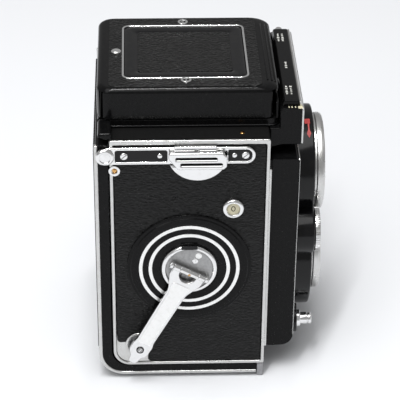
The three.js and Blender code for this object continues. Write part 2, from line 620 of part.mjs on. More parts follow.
function buildHood() {
  add(camera, "hood_lid", hoodLid(), "enamel");
  add(camera, "finder_flap", finderFlap(), "enamel", [0, FLAP.front + GAP, LID.top - FLAP.thickness]);
  add(camera, "crank_side_hood_wall", hoodSideWall(-1), "enamel", [-HOOD_WALL.hingeX, 0, HOOD_WALL.z]);
  add(camera, "knob_side_hood_wall", hoodSideWall(1), "enamel", [HOOD_WALL.hingeX, 0, HOOD_WALL.z]);
  add(camera, "rear_hood_wall", hoodRearWall(), "enamel", [0, REAR_WALL.hingeY, REAR_WALL.z]);
  add(camera, "magnifier", magnifier(), "glass", [0, MAGNIFIER.y, MAGNIFIER.z]);
}

buildBody();
buildFrontStandard();
buildKnobSide();
buildCrank();
buildBackDoor();
buildHood();

export default camera;
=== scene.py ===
"""Looks of a twin lens reflex camera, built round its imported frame.

Helpers take millimetres in the camera's frame (+Z up, lenses towards -Y, crank on the -X side).
Objects are made in metres. Each part of the camera has its own function.
"""
import json
import math
import random

import bpy
from mathutils import Matrix, Vector


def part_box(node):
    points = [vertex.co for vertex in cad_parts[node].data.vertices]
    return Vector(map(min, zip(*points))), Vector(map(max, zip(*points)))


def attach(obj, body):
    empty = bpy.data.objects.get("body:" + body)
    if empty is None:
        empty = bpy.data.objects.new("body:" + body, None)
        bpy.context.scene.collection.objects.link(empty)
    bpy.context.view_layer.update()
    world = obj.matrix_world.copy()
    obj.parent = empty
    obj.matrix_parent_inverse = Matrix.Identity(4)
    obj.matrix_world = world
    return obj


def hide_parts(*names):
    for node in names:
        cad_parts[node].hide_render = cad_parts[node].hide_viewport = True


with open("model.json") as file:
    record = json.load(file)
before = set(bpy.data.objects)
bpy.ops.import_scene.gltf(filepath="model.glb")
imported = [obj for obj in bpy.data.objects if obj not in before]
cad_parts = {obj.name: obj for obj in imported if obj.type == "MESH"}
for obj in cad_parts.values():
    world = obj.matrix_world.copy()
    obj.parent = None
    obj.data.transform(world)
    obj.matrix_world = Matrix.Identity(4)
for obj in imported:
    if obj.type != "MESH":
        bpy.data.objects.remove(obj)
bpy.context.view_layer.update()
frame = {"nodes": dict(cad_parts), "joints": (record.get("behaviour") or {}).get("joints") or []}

# ---- settings
MM = 0.001
ROUND_STEPS = 8  # segments in a quarter of a rounded corner
LATHE_SEGMENTS = 96
ROUND_SEGMENTS = 40  # for screw heads and other small round pieces
SMOOTH_ANGLE = math.radians(34)
ON_AXIS = 1e-6
SIDES = {"crank_side": -1, "knob_side": 1}

JOINTS = {joint["name"]: joint for joint in frame["joints"]}
NODES = frame["nodes"]


def extent(node):
    """Lowest and highest corner of a CAD node, in millimetres."""
    low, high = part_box(node)
    return low / MM, high / MM


def middle(node):
    low, high = extent(node)
    return (low + high) / 2


def pivot(joint):
    """A point on a hinge's axis, in millimetres."""
    return Vector(JOINTS[joint]["pos_m"]) / MM


# ---- frames: where a piece's own x, y and z point
X = Vector((1, 0, 0))
Y = Vector((0, 1, 0))
Z = Vector((0, 0, 1))


def basis(x, y, z, origin=(0, 0, 0)):
    matrix = Matrix((x, y, z)).transposed().to_4x4()
    matrix.translation = Vector(origin)
    return matrix


def flat(origin=(0, 0, 0)):
    return basis(X, Y, Z, origin)


def front(origin=(0, 0, 0)):
    """Drawn as (x, z), with depth towards the lenses."""
    return basis(X, Z, -Y, origin)


def outward(side, origin=(0, 0, 0)):
    """Drawn as (side * y, z), with depth out of that side of the camera."""
    return basis(Y * side, Z, X * side, origin)


def across(origin=(0, 0, 0)):
    """Drawn as (y, z), with depth along +X."""
    return basis(Y, Z, X, origin)


def downward(origin=(0, 0, 0)):
    """Drawn as (x, -y), with depth below."""
    return basis(X, -Y, -Z, origin)


def rearward():
    """Drawn as (-x, z), with depth towards the back."""
    return basis(-X, Z, Y)


def tipped(seat):
    """A seat turned so that its depth is drawn as the second axis."""
    turn = seat.to_3x3()
    return basis(turn @ X, turn @ Z, turn @ -Y, seat.translation)


# ---- outlines
def rounded(corners):
    """Points of a polygon given as (u, v, radius), its corners turned as true arcs."""
    points = []
    count = len(corners)
    for i, (u, v, radius) in enumerate(corners):
        here = Vector((u, v))
        before = Vector(corners[i - 1][:2]) - here
        after = Vector(corners[(i + 1) % count][:2]) - here
        room = 0.49 * min(before.length, after.length)
        before.normalize()
        after.normalize()
        half = math.acos(max(-1.0, min(1.0, before.dot(after)))) / 2
        if radius <= 0 or half > math.pi / 2 - 0.01:
            points.append(here)
            continue
        radius = min(radius, room * math.tan(half))
        centre = here + (before + after).normalized() * (radius / math.sin(half))
        start = here + before * (radius / math.tan(half)) - centre
        end = here + after * (radius / math.tan(half)) - centre
        turn = start.angle_signed(end)
        for step in range(ROUND_STEPS + 1):
            angle = -turn * step / ROUND_STEPS
            cos, sin = math.cos(angle), math.sin(angle)
            points.append(centre + Vector((start.x * cos - start.y * sin,
                                           start.x * sin + start.y * cos)))
    return points


def rectangle(u0, u1, v0, v1, radius):
    return rounded([(u0, v0, radius), (u1, v0, radius), (u1, v1, radius), (u0, v1, radius)])


def circle(radius, centre=(0, 0), count=64):
    turn = math.tau / count
    u, v = centre
    return [Vector((u + radius * math.cos(i * turn),
                    v + radius * math.sin(i * turn))) for i in range(count)]


def toothed(radius, depth, teeth):
    """A knurled rim: flat-topped teeth round a circle."""
    points = []
    for tooth in range(teeth):
        for share, r in ((0.0, radius - depth), (0.25, radius), (0.5, radius), (0.75, radius - depth)):
            angle = math.tau * (tooth + share) / teeth
            points.append(Vector((r * math.cos(angle), r * math.sin(angle))))
    return points


def inset(points, distance):
    """An outline drawn inside a closed anticlockwise one."""
    moved = []
    count = len(points)
    for i, point in enumerate(points):
        before = (point - points[i - 1]).normalized()
        after = (points[(i + 1) % count] - point).normalized()
        tangent = (before + after).normalized()
        normal = Vector((-tangent.y, tangent.x))
        moved.append(point + normal * (distance / max(0.5, normal.dot(Vector((-after.y, after.x))))))
    return moved


def both_halves(half):
    """A closed outline from its half above the u axis."""
    return [(u, -v, radius) for u, v, radius in half] + list(reversed(half))


def mirrored(points, side):
    """An outline drawn as (y, z), ready for outward(side)."""
    return [Vector((p[0] * side, p[1])) for p in points]


# ---- meshes
def link(item):
    """Puts a new object in the scene."""
    bpy.context.scene.collection.objects.link(item)


def to_object(name, mesh, where):
    mesh.transform(Matrix.Scale(MM, 4) @ where)
    mesh.shade_smooth()
    mesh.set_sharp_from_angle(angle=SMOOTH_ANGLE)
    piece = bpy.data.objects.new(name, mesh)
    link(piece)
    return piece


def even_shading(piece):
    modifier = piece.modifiers.new("even_shading", "WEIGHTED_NORMAL")
    modifier.keep_sharp = True
    modifier.weight = 100
    return piece


def plate(name, loops, low, high, where, bevel=0.2):
    """A flat plate with rounded edges: the first loop is its outline and the others are holes."""
    curve = bpy.data.curves.new(name, "CURVE")
    curve.dimensions = "2D"
    curve.fill_mode = "BOTH"
    for loop in loops:
        spline = curve.splines.new("POLY")
        spline.points.add(len(loop) - 1)
        for point, place in zip(spline.points, loop):
            point.co = (place[0], place[1], 0, 1)
        spline.use_cyclic_u = True
    curve.extrude = (high - low) / 2 - bevel
    curve.bevel_depth = bevel
    curve.bevel_resolution = 2
    curve.offset = -bevel
    maker = bpy.data.objects.new(name + "_maker", curve)
    link(maker)
    depsgraph = bpy.context.evaluated_depsgraph_get()
    mesh = bpy.data.meshes.new_from_object(maker.evaluated_get(depsgraph))
    bpy.data.objects.remove(maker)
    mesh.name = name
    lifted = where @ Matrix.Translation((0, 0, (low + high) / 2))
    return even_shading(to_object(name, mesh, lifted))


def turned(name, profile, where, segments=LATHE_SEGMENTS):
    """A profile of (radius, height) points turned about the frame's own z."""
    area = sum(a[0] * b[1] - b[0] * a[1] for a, b in zip(profile, profile[1:] + profile[:1]))
    points = list(profile) if area > 0 else list(reversed(profile))
    closed = points[0][0] > 0
    verts = []
    rings = []
    for radius, height in points:
        if radius < ON_AXIS:
            rings.append([len(verts)])
            verts.append((0, 0, height))
            continue
        rings.append(list(range(len(verts), len(verts) + segments)))
        for i in range(segments):
            angle = math.tau * i / segments
            verts.append((radius * math.cos(angle), radius * math.sin(angle), height))
    faces = []
    pairs = list(zip(rings, rings[1:]))
    if closed:
        pairs.append((rings[-1], rings[0]))
    for low, high in pairs:
        for i in range(segments):
            j = (i + 1) % segments
            if len(low) == 1 and len(high) == 1:
                break
            if len(low) == 1:
                faces.append((low[0], high[j], high[i]))
            elif len(high) == 1:
                faces.append((low[i], low[j], high[0]))
            else:
                faces.append((low[i], low[j], high[j], high[i]))
    mesh = bpy.data.meshes.new(name)
    mesh.from_pydata(verts, [], faces)
    return to_object(name, mesh, where)


def eased(profile, radius):
    """The same profile with its corners off the axis rounded by a small radius."""
    result = []
    count = len(profile)
    for i, (r, h) in enumerate(profile):
        before, after = profile[i - 1], profile[(i + 1) % count]
        if r < ON_AXIS:
            result.append((r, h))
            continue
        here = Vector((r, h))
        to_before = Vector(before) - here
        to_after = Vector(after) - here
        reach = min(radius, to_before.length * 0.45, to_after.length * 0.45)
        first = here + to_before.normalized() * reach
        last = here + to_after.normalized() * reach
        for step in range(4):
            t = step / 3
            point = first * (1 - t) ** 2 + here * 2 * t * (1 - t) + last * t ** 2
            result.append((point.x, point.y))
    return result


def loft(name, rings):
    """A skin through rings of equally many 3-D points, capped at both ends."""
    count = len(rings[0])
    verts = [tuple(point) for ring in rings for point in ring]
    faces = []
    for low in range(0, (len(rings) - 1) * count, count):
        for i in range(count):
            j = (i + 1) % count
            faces.append((low + i, low + j, low + count + j, low + count + i))
    faces.append(tuple(reversed(range(count))))
    faces.append(tuple(range(len(verts) - count, len(verts))))
    mesh = bpy.data.meshes.new(name)
    mesh.from_pydata(verts, [], faces)
    mesh.update()
    return even_shading(to_object(name, mesh, flat()))


def at_height(points, z):
    return [(p[0], p[1], z) for p in points]


def carve(piece, cutter, how="DIFFERENCE"):
    """Cuts or joins another object's shape into a piece, and takes that object away."""
    modifier = piece.modifiers.new("carve", "BOOLEAN")
    modifier.operation = how
    modifier.solver = "EXACT"
    modifier.object = cutter
    piece.modifiers.move(len(piece.modifiers) - 1, 0)
    depsgraph = bpy.context.evaluated_depsgraph_get()
    shading = [m for m in piece.modifiers if m.type == "WEIGHTED_NORMAL"]
    for m in shading:
        m.show_viewport = False
    depsgraph.update()
    mesh = bpy.data.meshes.new_from_object(piece.evaluated_get(depsgraph))
    piece.modifiers.remove(modifier)
    for m in shading:
        m.show_viewport = True
    piece.data = mesh
    piece.data.shade_smooth()
    piece.data.set_sharp_from_angle(angle=SMOOTH_ANGLE)
    bpy.data.objects.remove(cutter)
    return piece


def cuboid(name, low, high):
    corners = rectangle(low[0], high[0], low[1], high[1], 0)
    return loft(name, [at_height(corners, low[2]), at_height(corners, high[2])])


def done(piece, body, finish, *nodes):
    """Gives a piece the material of its finish's look, fixes it to its body and hides the CAD nodes
    that it stands for.
    """
    slot, look = finish
    piece.data.materials.clear()
    piece.data.materials.append(LOOK[look])
    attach(piece, body)
    if nodes:
        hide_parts(*nodes)
    return piece


def slab(name, loops, low, high, where, bevel, body, finish, *nodes):
    """A finished plate."""
    return done(plate(name, loops, low, high, where, bevel), body, finish, *nodes)


def spin(name, profile, where, body, finish, *nodes, ease=0.2, segments=LATHE_SEGMENTS):
    """A finished turned piece, its corners eased."""
    return done(turned(name, eased(profile, ease), where, segments), body, finish, *nodes)


# ---- materials
class Finish:
    """A node material whose colour, roughness and relief vary over the surface."""

    def __init__(self, name, colour, roughness, metallic=0.0):
        self.material = bpy.data.materials.new(name)
        self.material.use_nodes = True
        self.nodes = self.material.node_tree.nodes
        self.links = self.material.node_tree.links
        self.shader = self.nodes["Principled BSDF"]
        self.shader.inputs["Base Color"].default_value = (*colour, 1)
        self.shader.inputs["Roughness"].default_value = roughness
        self.shader.inputs["Metallic"].default_value = metallic
        self.colour = colour
        self.roughness = roughness
        self.place = self.nodes.new("ShaderNodeTexCoord").outputs["Object"]
        self.normal = None

    def set(self, **sockets):
        for socket, value in sockets.items():
            self.shader.inputs[socket.replace("_", " ")].default_value = value
        return self

    def scaled(self, size_mm, stretch):
        """Places in units of size_mm, drawn out by stretch along each axis."""
        mapping = self.nodes.new("ShaderNodeMapping")
        mapping.inputs["Scale"].default_value = [1 / (size_mm * MM * s) for s in stretch]
        self.links.new(self.place, mapping.inputs["Vector"])
        return mapping.outputs["Vector"]

    def noise(self, size_mm, detail, stretch=(1, 1, 1)):
        """Noise whose features are about size_mm across."""
        noise = self.nodes.new("ShaderNodeTexNoise")
        noise.inputs["Scale"].default_value = 1.0
        noise.inputs["Detail"].default_value = detail
        self.links.new(self.scaled(size_mm, stretch), noise.inputs["Vector"])
        return noise.outputs["Fac"]

    def cells(self, size_mm, smooth, stretch, warp):
        """Pebbled cells of about size_mm, with their outlines warped by noise."""
        vector = self.scaled(size_mm, stretch)
        bend = self.nodes.new("ShaderNodeTexNoise")
        bend.inputs["Scale"].default_value = 0.35
        self.links.new(vector, bend.inputs["Vector"])
        shift = self.nodes.new("ShaderNodeVectorMath")
        shift.operation = "MULTIPLY_ADD"
        shift.inputs[1].default_value = (warp, warp, warp)
        self.links.new(bend.outputs["Color"], shift.inputs[0])
        self.links.new(vector, shift.inputs[2])
        voronoi = self.nodes.new("ShaderNodeTexVoronoi")
        voronoi.feature = "SMOOTH_F1"
        voronoi.inputs["Scale"].default_value = 1.0
        voronoi.inputs["Smoothness"].default_value = smooth
        self.links.new(shift.outputs["Vector"], voronoi.inputs["Vector"])
        return voronoi.outputs["Distance"]

    def spread(self, source, low, high, start, end):
        """Turns a 0 to 1 pattern into low to high."""
        ranged = self.nodes.new("ShaderNodeMapRange")
        ranged.inputs["From Min"].default_value = start
        ranged.inputs["From Max"].default_value = end
        ranged.inputs["To Min"].default_value = low
        ranged.inputs["To Max"].default_value = high
        self.links.new(source, ranged.inputs["Value"])
        return ranged.outputs["Result"]

    def vary_roughness(self, source, amount):
        smoothest = max(0.02, self.roughness - amount)
        value = self.spread(source, smoothest, self.roughness + amount, 0.3, 0.7)
        self.links.new(value, self.shader.inputs["Roughness"])
        return self

    def vary_colour(self, source, other, start=0.35, end=0.7):
        mix = self.nodes.new("ShaderNodeMix")
        mix.data_type = "RGBA"
        mix.inputs["A"].default_value = (*self.colour, 1)
        mix.inputs["B"].default_value = (*other, 1)
        self.links.new(self.spread(source, 0, 1, start, end), mix.inputs["Factor"])
        self.links.new(mix.outputs["Result"], self.shader.inputs["Base Color"])
        return self

    def relief(self, source, depth_mm, strength=1.0):
        bump = self.nodes.new("ShaderNodeBump")
        bump.inputs["Distance"].default_value = depth_mm * MM
        bump.inputs["Strength"].default_value = strength
        self.links.new(source, bump.inputs["Height"])
        if self.normal is not None:
            self.links.new(self.normal, bump.inputs["Normal"])
        self.normal = bump.outputs["Normal"]
        self.links.new(self.normal, self.shader.inputs["Normal"])
        return self


def make_look(name, colour, roughness, metallic=0.0, cloud=(2, 4, 0.08), tint=None, grain=None,
              **sockets):
    """A finish with cloudy roughness (noise size, detail, amount), a second colour
    (noise size, detail, colour, start, end) and grain (noise size, detail, stretch, depth)."""
    finish = Finish(name, colour, roughness, metallic)
    finish.set(**sockets)
    size, detail, amount = cloud
    finish.vary_roughness(finish.noise(size, detail), amount)
    if tint:
        size, detail, *second = tint
        finish.vary_colour(finish.noise(size, detail), *second)
    if grain:
        size, detail, stretch, depth = grain
        finish.relief(finish.noise(size, detail, stretch), depth)
    return finish.material


def make_leather():
    finish = Finish("GrainLeather", BLACK_LEATHER, 0.34)
    finish.set(Specular_IOR_Level=0.20)
    pebbles = finish.cells(1.15, 0.35, (1, 1.5, 0.8), warp=2.2)
    finish.vary_roughness(finish.noise(7, 4), 0.08)
    finish.vary_colour(pebbles, WORN_LEATHER, 0.2, 0.75)
    finish.relief(pebbles, 0.45, 1.0)
    finish.relief(finish.noise(0.16, 3), 0.012, 0.5)
    return finish.material


def make_glass(name, tint, roughness=0.0):
    shade = tuple(0.96 * c for c in tint)
    return make_look(name, tint, roughness, cloud=(12, 3, 0.015), tint=(20, 2, shade),
                     Transmission_Weight=1.0, IOR=1.52)


def make_paint(name, colour, other):
    return make_look(name, colour, 0.45, tint=(1.5, 5, other), grain=(0.2, 2, EVEN, 0.004))


EVEN = (1, 1, 1)
BLACK_LEATHER = (0.0022, 0.0022, 0.0022)
WORN_LEATHER = (0.007, 0.007, 0.007)
LOOK = {
    "enamel": make_look("GlossEnamel", (0.003, 0.003, 0.0035), 0.13, cloud=(9, 5, 0.04),
                        tint=(2.5, 6, (0.007, 0.007, 0.007), 0.5, 0.8), grain=(1.4, 2, EVEN, 0.004),
                        Specular_IOR_Level=0.28),
    "satin_black": make_look("SatinBlack", (0.0035, 0.0035, 0.0037), 0.13, cloud=(6, 5, 0.03),
                             tint=(1.5, 6, (0.0075, 0.0075, 0.0075), 0.5, 0.85),
                             grain=(0.25, 2, EVEN, 0.006), Specular_IOR_Level=0.13),
    "matt": make_look("MattBlack", (0.004, 0.004, 0.004), 0.72, cloud=(3, 4, 0.1),
                      grain=(0.3, 3, EVEN, 0.01), Specular_IOR_Level=0.12),
    "leather": make_leather(),
    "satin_metal": make_look("SatinMetal", (0.60, 0.60, 0.59), 0.30, 1.0, cloud=(5, 6, 0.06),
                             tint=(3, 7, (0.54, 0.53, 0.51), 0.5, 0.8),
                             grain=(0.12, 3, (1, 30, 1), 0.002)),
    "white_metal": make_look("WhiteMetal", (0.88, 0.88, 0.87), 0.42, 1.0, cloud=(3, 5, 0.06),
                             tint=(2, 6, (0.80, 0.80, 0.78), 0.5, 0.8)),
    "chrome": make_look("PolishedChrome", (0.78, 0.78, 0.78), 0.12, 1.0, cloud=(4, 6, 0.06),
                        tint=(2, 7, (0.68, 0.67, 0.65), 0.55, 0.85),
                        grain=(0.10, 2, (1, 25, 25), 0.0005)),
    "steel": make_look("GroundSteel", (0.36, 0.36, 0.36), 0.40, 0.9, cloud=(3, 6, 0.1),
                       tint=(1.2, 6, (0.28, 0.28, 0.28), 0.4, 0.8), grain=(0.1, 3, (30, 1, 1), 0.003)),
    "white": make_paint("WhiteFill", (0.72, 0.72, 0.68), (0.60, 0.60, 0.56)),
    "cream": make_paint("CreamEnamel", (0.62, 0.58, 0.42), (0.50, 0.46, 0.32)),
    "red": make_paint("RedFill", (0.55, 0.04, 0.035), (0.42, 0.03, 0.03)),
    "grey": make_paint("GreyPaint", (0.30, 0.30, 0.31), (0.22, 0.22, 0.23)),
    "brass": make_look("Brass", (0.72, 0.42, 0.16), 0.25, 1.0, cloud=(0.8, 4, 0.1),
                       tint=(0.7, 5, (0.50, 0.28, 0.10))),
    "glass": make_glass("ClearGlass", (0.93, 0.96, 0.97)),
    "coated": make_glass("CoatedGlass", (0.78, 0.80, 0.95)),
    "frosted": make_glass("FrostedGlass", (0.90, 0.92, 0.93), 0.35),
    "mirror": make_look("SilveredMirror", (0.86, 0.87, 0.88), 0.03, 1.0, cloud=(8, 4, 0.02),
                        tint=(5, 6, (0.78, 0.79, 0.80), 0.6, 0.9)),
}


# ---- finishes: material slot and look
ENAMEL = "black_enamel", "enamel"
SATIN_BLACK = "black_enamel", "satin_black"
MATT_ENAMEL = "black_enamel", "matt"
PLASTIC = "black_plastic", "satin_black"
MATT_PLASTIC = "black_plastic", "matt"
CELL_METAL = "black_plastic", "steel"
CHROME = "bright_chrome", "chrome"
STEEL = "bright_chrome", "steel"
WHITE_METAL = "bright_chrome", "white_metal"
PAINTED_CHROME = "bright_chrome", "enamel"
SATIN_CHROME = "bright_chrome", "satin_metal"
BRASS_CONTACT = "bright_chrome", "brass"
MATT_CHROME = "bright_chrome", "matt"
ALUMINIUM = "satin_aluminium", "satin_metal"
BRIGHT_ALUMINIUM = "satin_aluminium", "chrome"
GREY_ALUMINIUM = "satin_aluminium", "steel"
CREAM = "cream_dial", "cream"
WHITE = "cream_dial", "white"
RED = "cream_dial", "red"
PIN = "steel_pin", "chrome"
STEEL_PIN = "steel_pin", "steel"
BRASS_PIN = "steel_pin", "brass"
WHITE_PIN = "steel_pin", "white_metal"
GLASS = "optical_glass", "glass"
COATED_GLASS = "optical_glass", "coated"
LEATHER = "black_leather", "leather"

BODY = "camera_body"
STANDARD = "lens_standard"


# ---- small repeated pieces
def slotted_screw(name, radius, height, where, body, finish=PIN, turn=0.5):
    """A domed screw head with a slot across it, seated at the frame's origin."""
    profile = [(0, 0), (radius, 0), (radius, height * 0.45), (radius * 0.82, height * 0.85),
               (0, height)]
    head = turned(name, eased(profile, height * 0.3), where, ROUND_SEGMENTS)
    half_length, half_width = radius * 1.2, radius * 0.14
    slot_loop = rectangle(-half_length, half_length, -half_width, half_width, 0)
    seat = where @ Matrix.Rotation(turn, 4, "Z")
    groove = plate(name + "_slot", [slot_loop], height * 0.35, height * 1.6, seat, 0.0)
    groove.modifiers.clear()
    return done(carve(head, groove), body, finish)


def rivet(name, radius, height, where, body, finish=PIN):
    """A round-headed rivet, seated at the frame's origin."""
    turns = [i / 6 * math.pi / 2 for i in range(6)]
    dome = [(radius * math.cos(a), height * (0.25 + 0.75 * math.sin(a))) for a in turns]
    profile = [(0, 0), (radius, 0), *dome, (0, height)]
    return done(turned(name, profile, where, ROUND_SEGMENTS), body, finish)


def ring(name, inner, outer, low, high, where, body, finish, *nodes, ease=0.2, segments=LATHE_SEGMENTS):
    profile = [(inner, low), (outer, low), (outer, high), (inner, high)]
    return spin(name, profile, where, body, finish, *nodes, ease=ease, segments=segments)


def bar(name, radius, length, where, body, finish):
    """A rod with rounded ends along the frame's z, from its origin."""
    profile = [(0, 0), (radius, 0), (radius, length), (0, length)]
    return spin(name, profile, where, body, finish, ease=radius * 0.4, segments=32)


# ---- kept CAD nodes
KEPT = {
    "body_casting": ("matt", 0.25),
    "viewing_mirror": ("mirror", 0.1),
    "focusing_screen": ("frosted", 0.2),
    "front_standard": ("satin_black", 1.3),
    "shutter_housing": ("matt", 0.3),
    "crank_hinge_pin": ("chrome", 0.1),
    "door_hinge_pin": ("chrome", 0.15),
    "back_door": ("satin_black", 0.35),
    "pressure_plate": ("satin_black", 0.3),
    "crank_side_hood_wall": ("satin_black", 0.12),
    "knob_side_hood_wall": ("satin_black", 0.12),
    "rear_hood_wall": ("satin_black", 0.12),
    "crank_side_front_foot": ("grey", 0.5),
    "knob_side_front_foot": ("grey", 0.5),
    "crank_side_rear_foot": ("grey", 0.5),
    "knob_side_rear_foot": ("grey", 0.5),
}


def finish_kept_node(node, look, bevel):
    piece = NODES[node]
    piece.data.materials.clear()
    piece.data.materials.append(LOOK[look])
    weld = piece.modifiers.new("weld", "WELD")
    weld.merge_threshold = 0.0001 * MM
    rounding = piece.modifiers.new("rounding", "BEVEL")
    rounding.width = bevel * MM
    rounding.segments = 3
    rounding.limit_method = "ANGLE"
    rounding.angle_limit = math.radians(40)
    rounding.harden_normals = True
    rounding.use_clamp_overlap = True
    piece.data.shade_smooth()
    piece.data.set_sharp_from_angle(angle=SMOOTH_ANGLE)
    even_shading(piece)


# ---- body sides
CRANK = pivot("crank_turn")
HANDLE = middle("crank_handle_knob")
HINGE = pivot("crank_arm_fold")
OUT = -X
ARM_TIP = 8.4  # finger tip, from the handle's axis
BORDER_WIDTH = 1.5
CORNER = 8
RECESS = (34.5, 19.3)
RECESS_RADIUS = 5.4
SIDE_RISE = 0.75  # the side panels' windows stop this far below the border's top
FRONT_EDGE_X = (43.2, 45.2)
FRONT_EDGE_Z = (16, 113)
FRONT_EDGE_DEPTH = (24.1, 25.3)
CRANK_SIDE_HOLES = ((4.6, (CRANK.y, CRANK.z)), (3.6, (-8.3, 94.4)))  # hub and film counter
KNOB_SIDE_HOLES = ((3.4, (28, 88)), (3.4, (-0.5, 20)), (5.5, (6, 62)))  # spool knobs and focusing shaft
STRAP_SCREWS = {"rear": 40.3, "front": -13.2}
STRAP_RIVETS = {"rear": 24.5, "front": -8.3}
STUD_Y = 48.6
BOW_RADIUS = 13.6
EAR_OFFSET = 8.95  # of the crank hub's two hinge ears, from the hub's middle
ROSETTE_RINGS = {"outer": (21.4, 23.0), "inner": (17.0, 18.6)}  # radii of the disc's bright rings


def side_loop(inset_by, extra_top=0.0):
    """Outline of a side's border moved in by a distance, and further at its top."""
    low, high = extent("crank_side_border")
    radius = max(0.8, CORNER - inset_by)
    return rounded([(low.y + inset_by, low.z + inset_by, 0.8),
                    (high.y - inset_by, low.z + inset_by, radius),
                    (high.y - inset_by, high.z - inset_by - extra_top, 0.8),
                    (low.y + inset_by, high.z - inset_by - extra_top, 0.8)])


def crank_leather_loop():
    """The crank side's leather, cut back round the recess at its lower rear corner."""
    low, high = extent("crank_side_leather")
    start, end = math.radians(228), math.radians(12)
    ring_radius = RECESS_RADIUS + 1.0
    arc = []
    for step in range(25):
        angle = start + (end - start) * step / 24
        arc.append((RECESS[0] + ring_radius * math.cos(angle),
                    RECESS[1] + ring_radius * math.sin(angle), 0))
    return rounded([(low.y, low.z, 0.8), (arc[0][0] + 0.6, low.z, 1.8), *arc,
                    (high.y, arc[-1][1] - 0.2, 1.8), (high.y, high.z, 0.8), (low.y, high.z, 0.8)])


def build_side(label, side):
    where = outward(side)
    low, high = extent(f"{label}_border")
    inner, outer = sorted((abs(low.x), abs(high.x)))
    loops = [mirrored(side_loop(0), side), mirrored(side_loop(BORDER_WIDTH, SIDE_RISE), side)]
    slab(f"{label}_border_frame", loops, inner, outer, where, 0.4, BODY, ALUMINIUM, f"{label}_border")
    low, high = extent(f"{label}_leather")
    top = max(abs(low.x), abs(high.x))
    if side < 0:
        loops = [crank_leather_loop()]
        holes = CRANK_SIDE_HOLES
    else:
        loops = [rounded([(low.y, low.z, 0.8), (high.y, low.z, CORNER - 1.8), (high.y, high.z, 0.8),
                          (low.y, high.z, 0.8)])]
        holes = KNOB_SIDE_HOLES
    loops += [circle(radius, place) for radius, place in holes]
    slab(f"{label}_panel", [mirrored(loop, side) for loop in loops], inner, top, where, 0.35, BODY,
         LEATHER, f"{label}_leather")
    edge = rectangle(*sorted(side * x for x in FRONT_EDGE_X), *FRONT_EDGE_Z, 0.3)
    slab(f"{label}_front_edge", [edge], *FRONT_EDGE_DEPTH, front(), 0.3, BODY, ALUMINIUM)


def build_corner_plate():
    """Bright plate and cup at the crank side's lower rear corner, where the handle rests."""
    where = outward(-1)
    corner = rounded([(26, 9.2, 1), (45.1, 9.2, CORNER - 1.6), (45.1, 25, 1), (26, 25, 1)])
    loops = [mirrored(corner, -1), mirrored(circle(RECESS_RADIUS, RECESS), -1)]
    slab("corner_plate", loops, 45.5, 46.7, where, 0.15, BODY, ALUMINIUM)
    seat = outward(-1, (0, RECESS[0], RECESS[1]))
    ring("recess_rim", RECESS_RADIUS - 0.1, RECESS_RADIUS + 1.1, 46.2, 47.35, seat, BODY, ALUMINIUM,
         ease=0.3)
    cup = [(0, 41.2), (RECESS_RADIUS - 0.1, 41.2), (RECESS_RADIUS - 0.1, 46.6),
           (RECESS_RADIUS - 0.7, 46.6), (RECESS_RADIUS - 0.7, 42.0), (0, 42.0)]
    spin("recess_cup", cup, seat, BODY, GREY_ALUMINIUM)


# ---- strap plates and lugs
def build_strap_plate(label, side):
    where = outward(side)
    low, high = extent(f"{label}_strap_plate")
    inner, outer = sorted((abs(low.x), abs(high.x)))
    windows = [rectangle(21.2, 44.2, low.z + 1.3, high.z - 1.3, 1.0),
               rounded([(low.y + 1.5, low.z + 1.3, 2.6), (-5.6, low.z + 1.3, 0.6),
                        (-5.6, high.z - 1.3, 0.6), (low.y + 1.5, high.z - 1.3, 2.6)])]
    outline = rectangle(low.y, high.y, low.z, high.z, 4.15)
    loops = [mirrored(loop, side) for loop in (outline, *windows)]
    slab(f"{label}_strap_bar", loops, inner, outer, where, 0.4, BODY, BRIGHT_ALUMINIUM,
         f"{label}_strap_plate")
    for place, window in zip(("rear", "front"), windows):
        slab(f"{label}_strap_inlay_{place}", [mirrored(inset(window, -0.3), side)], inner, outer - 0.55,
             where, 0.1, BODY, ENAMEL)
    height = (low.z + high.z) / 2
    turn = 0.7 if side < 0 else -0.4
    for place, y in STRAP_SCREWS.items():
        seat = outward(side, (side * (outer - 0.6), y, height))
        slotted_screw(f"{label}_strap_screw_{place}", 1.75, 1.0, seat, BODY, turn=turn)
    for place, y in STRAP_RIVETS.items():
        seat = outward(side, (side * (outer - 0.6), y, height))
        rivet(f"{label}_strap_rivet_{place}", 1.2, 0.9, seat, BODY)
    boss = [(0, 0), (4.1, 0), (4.1, 1.2), (3.3, 1.9), (2.6, 1.9), (2.3, 1.5), (0, 2.2)]
    spin(f"{label}_strap_stud", boss, outward(side, (side * (outer - 0.5), STUD_Y, height)), BODY,
         CHROME, ease=0.3)


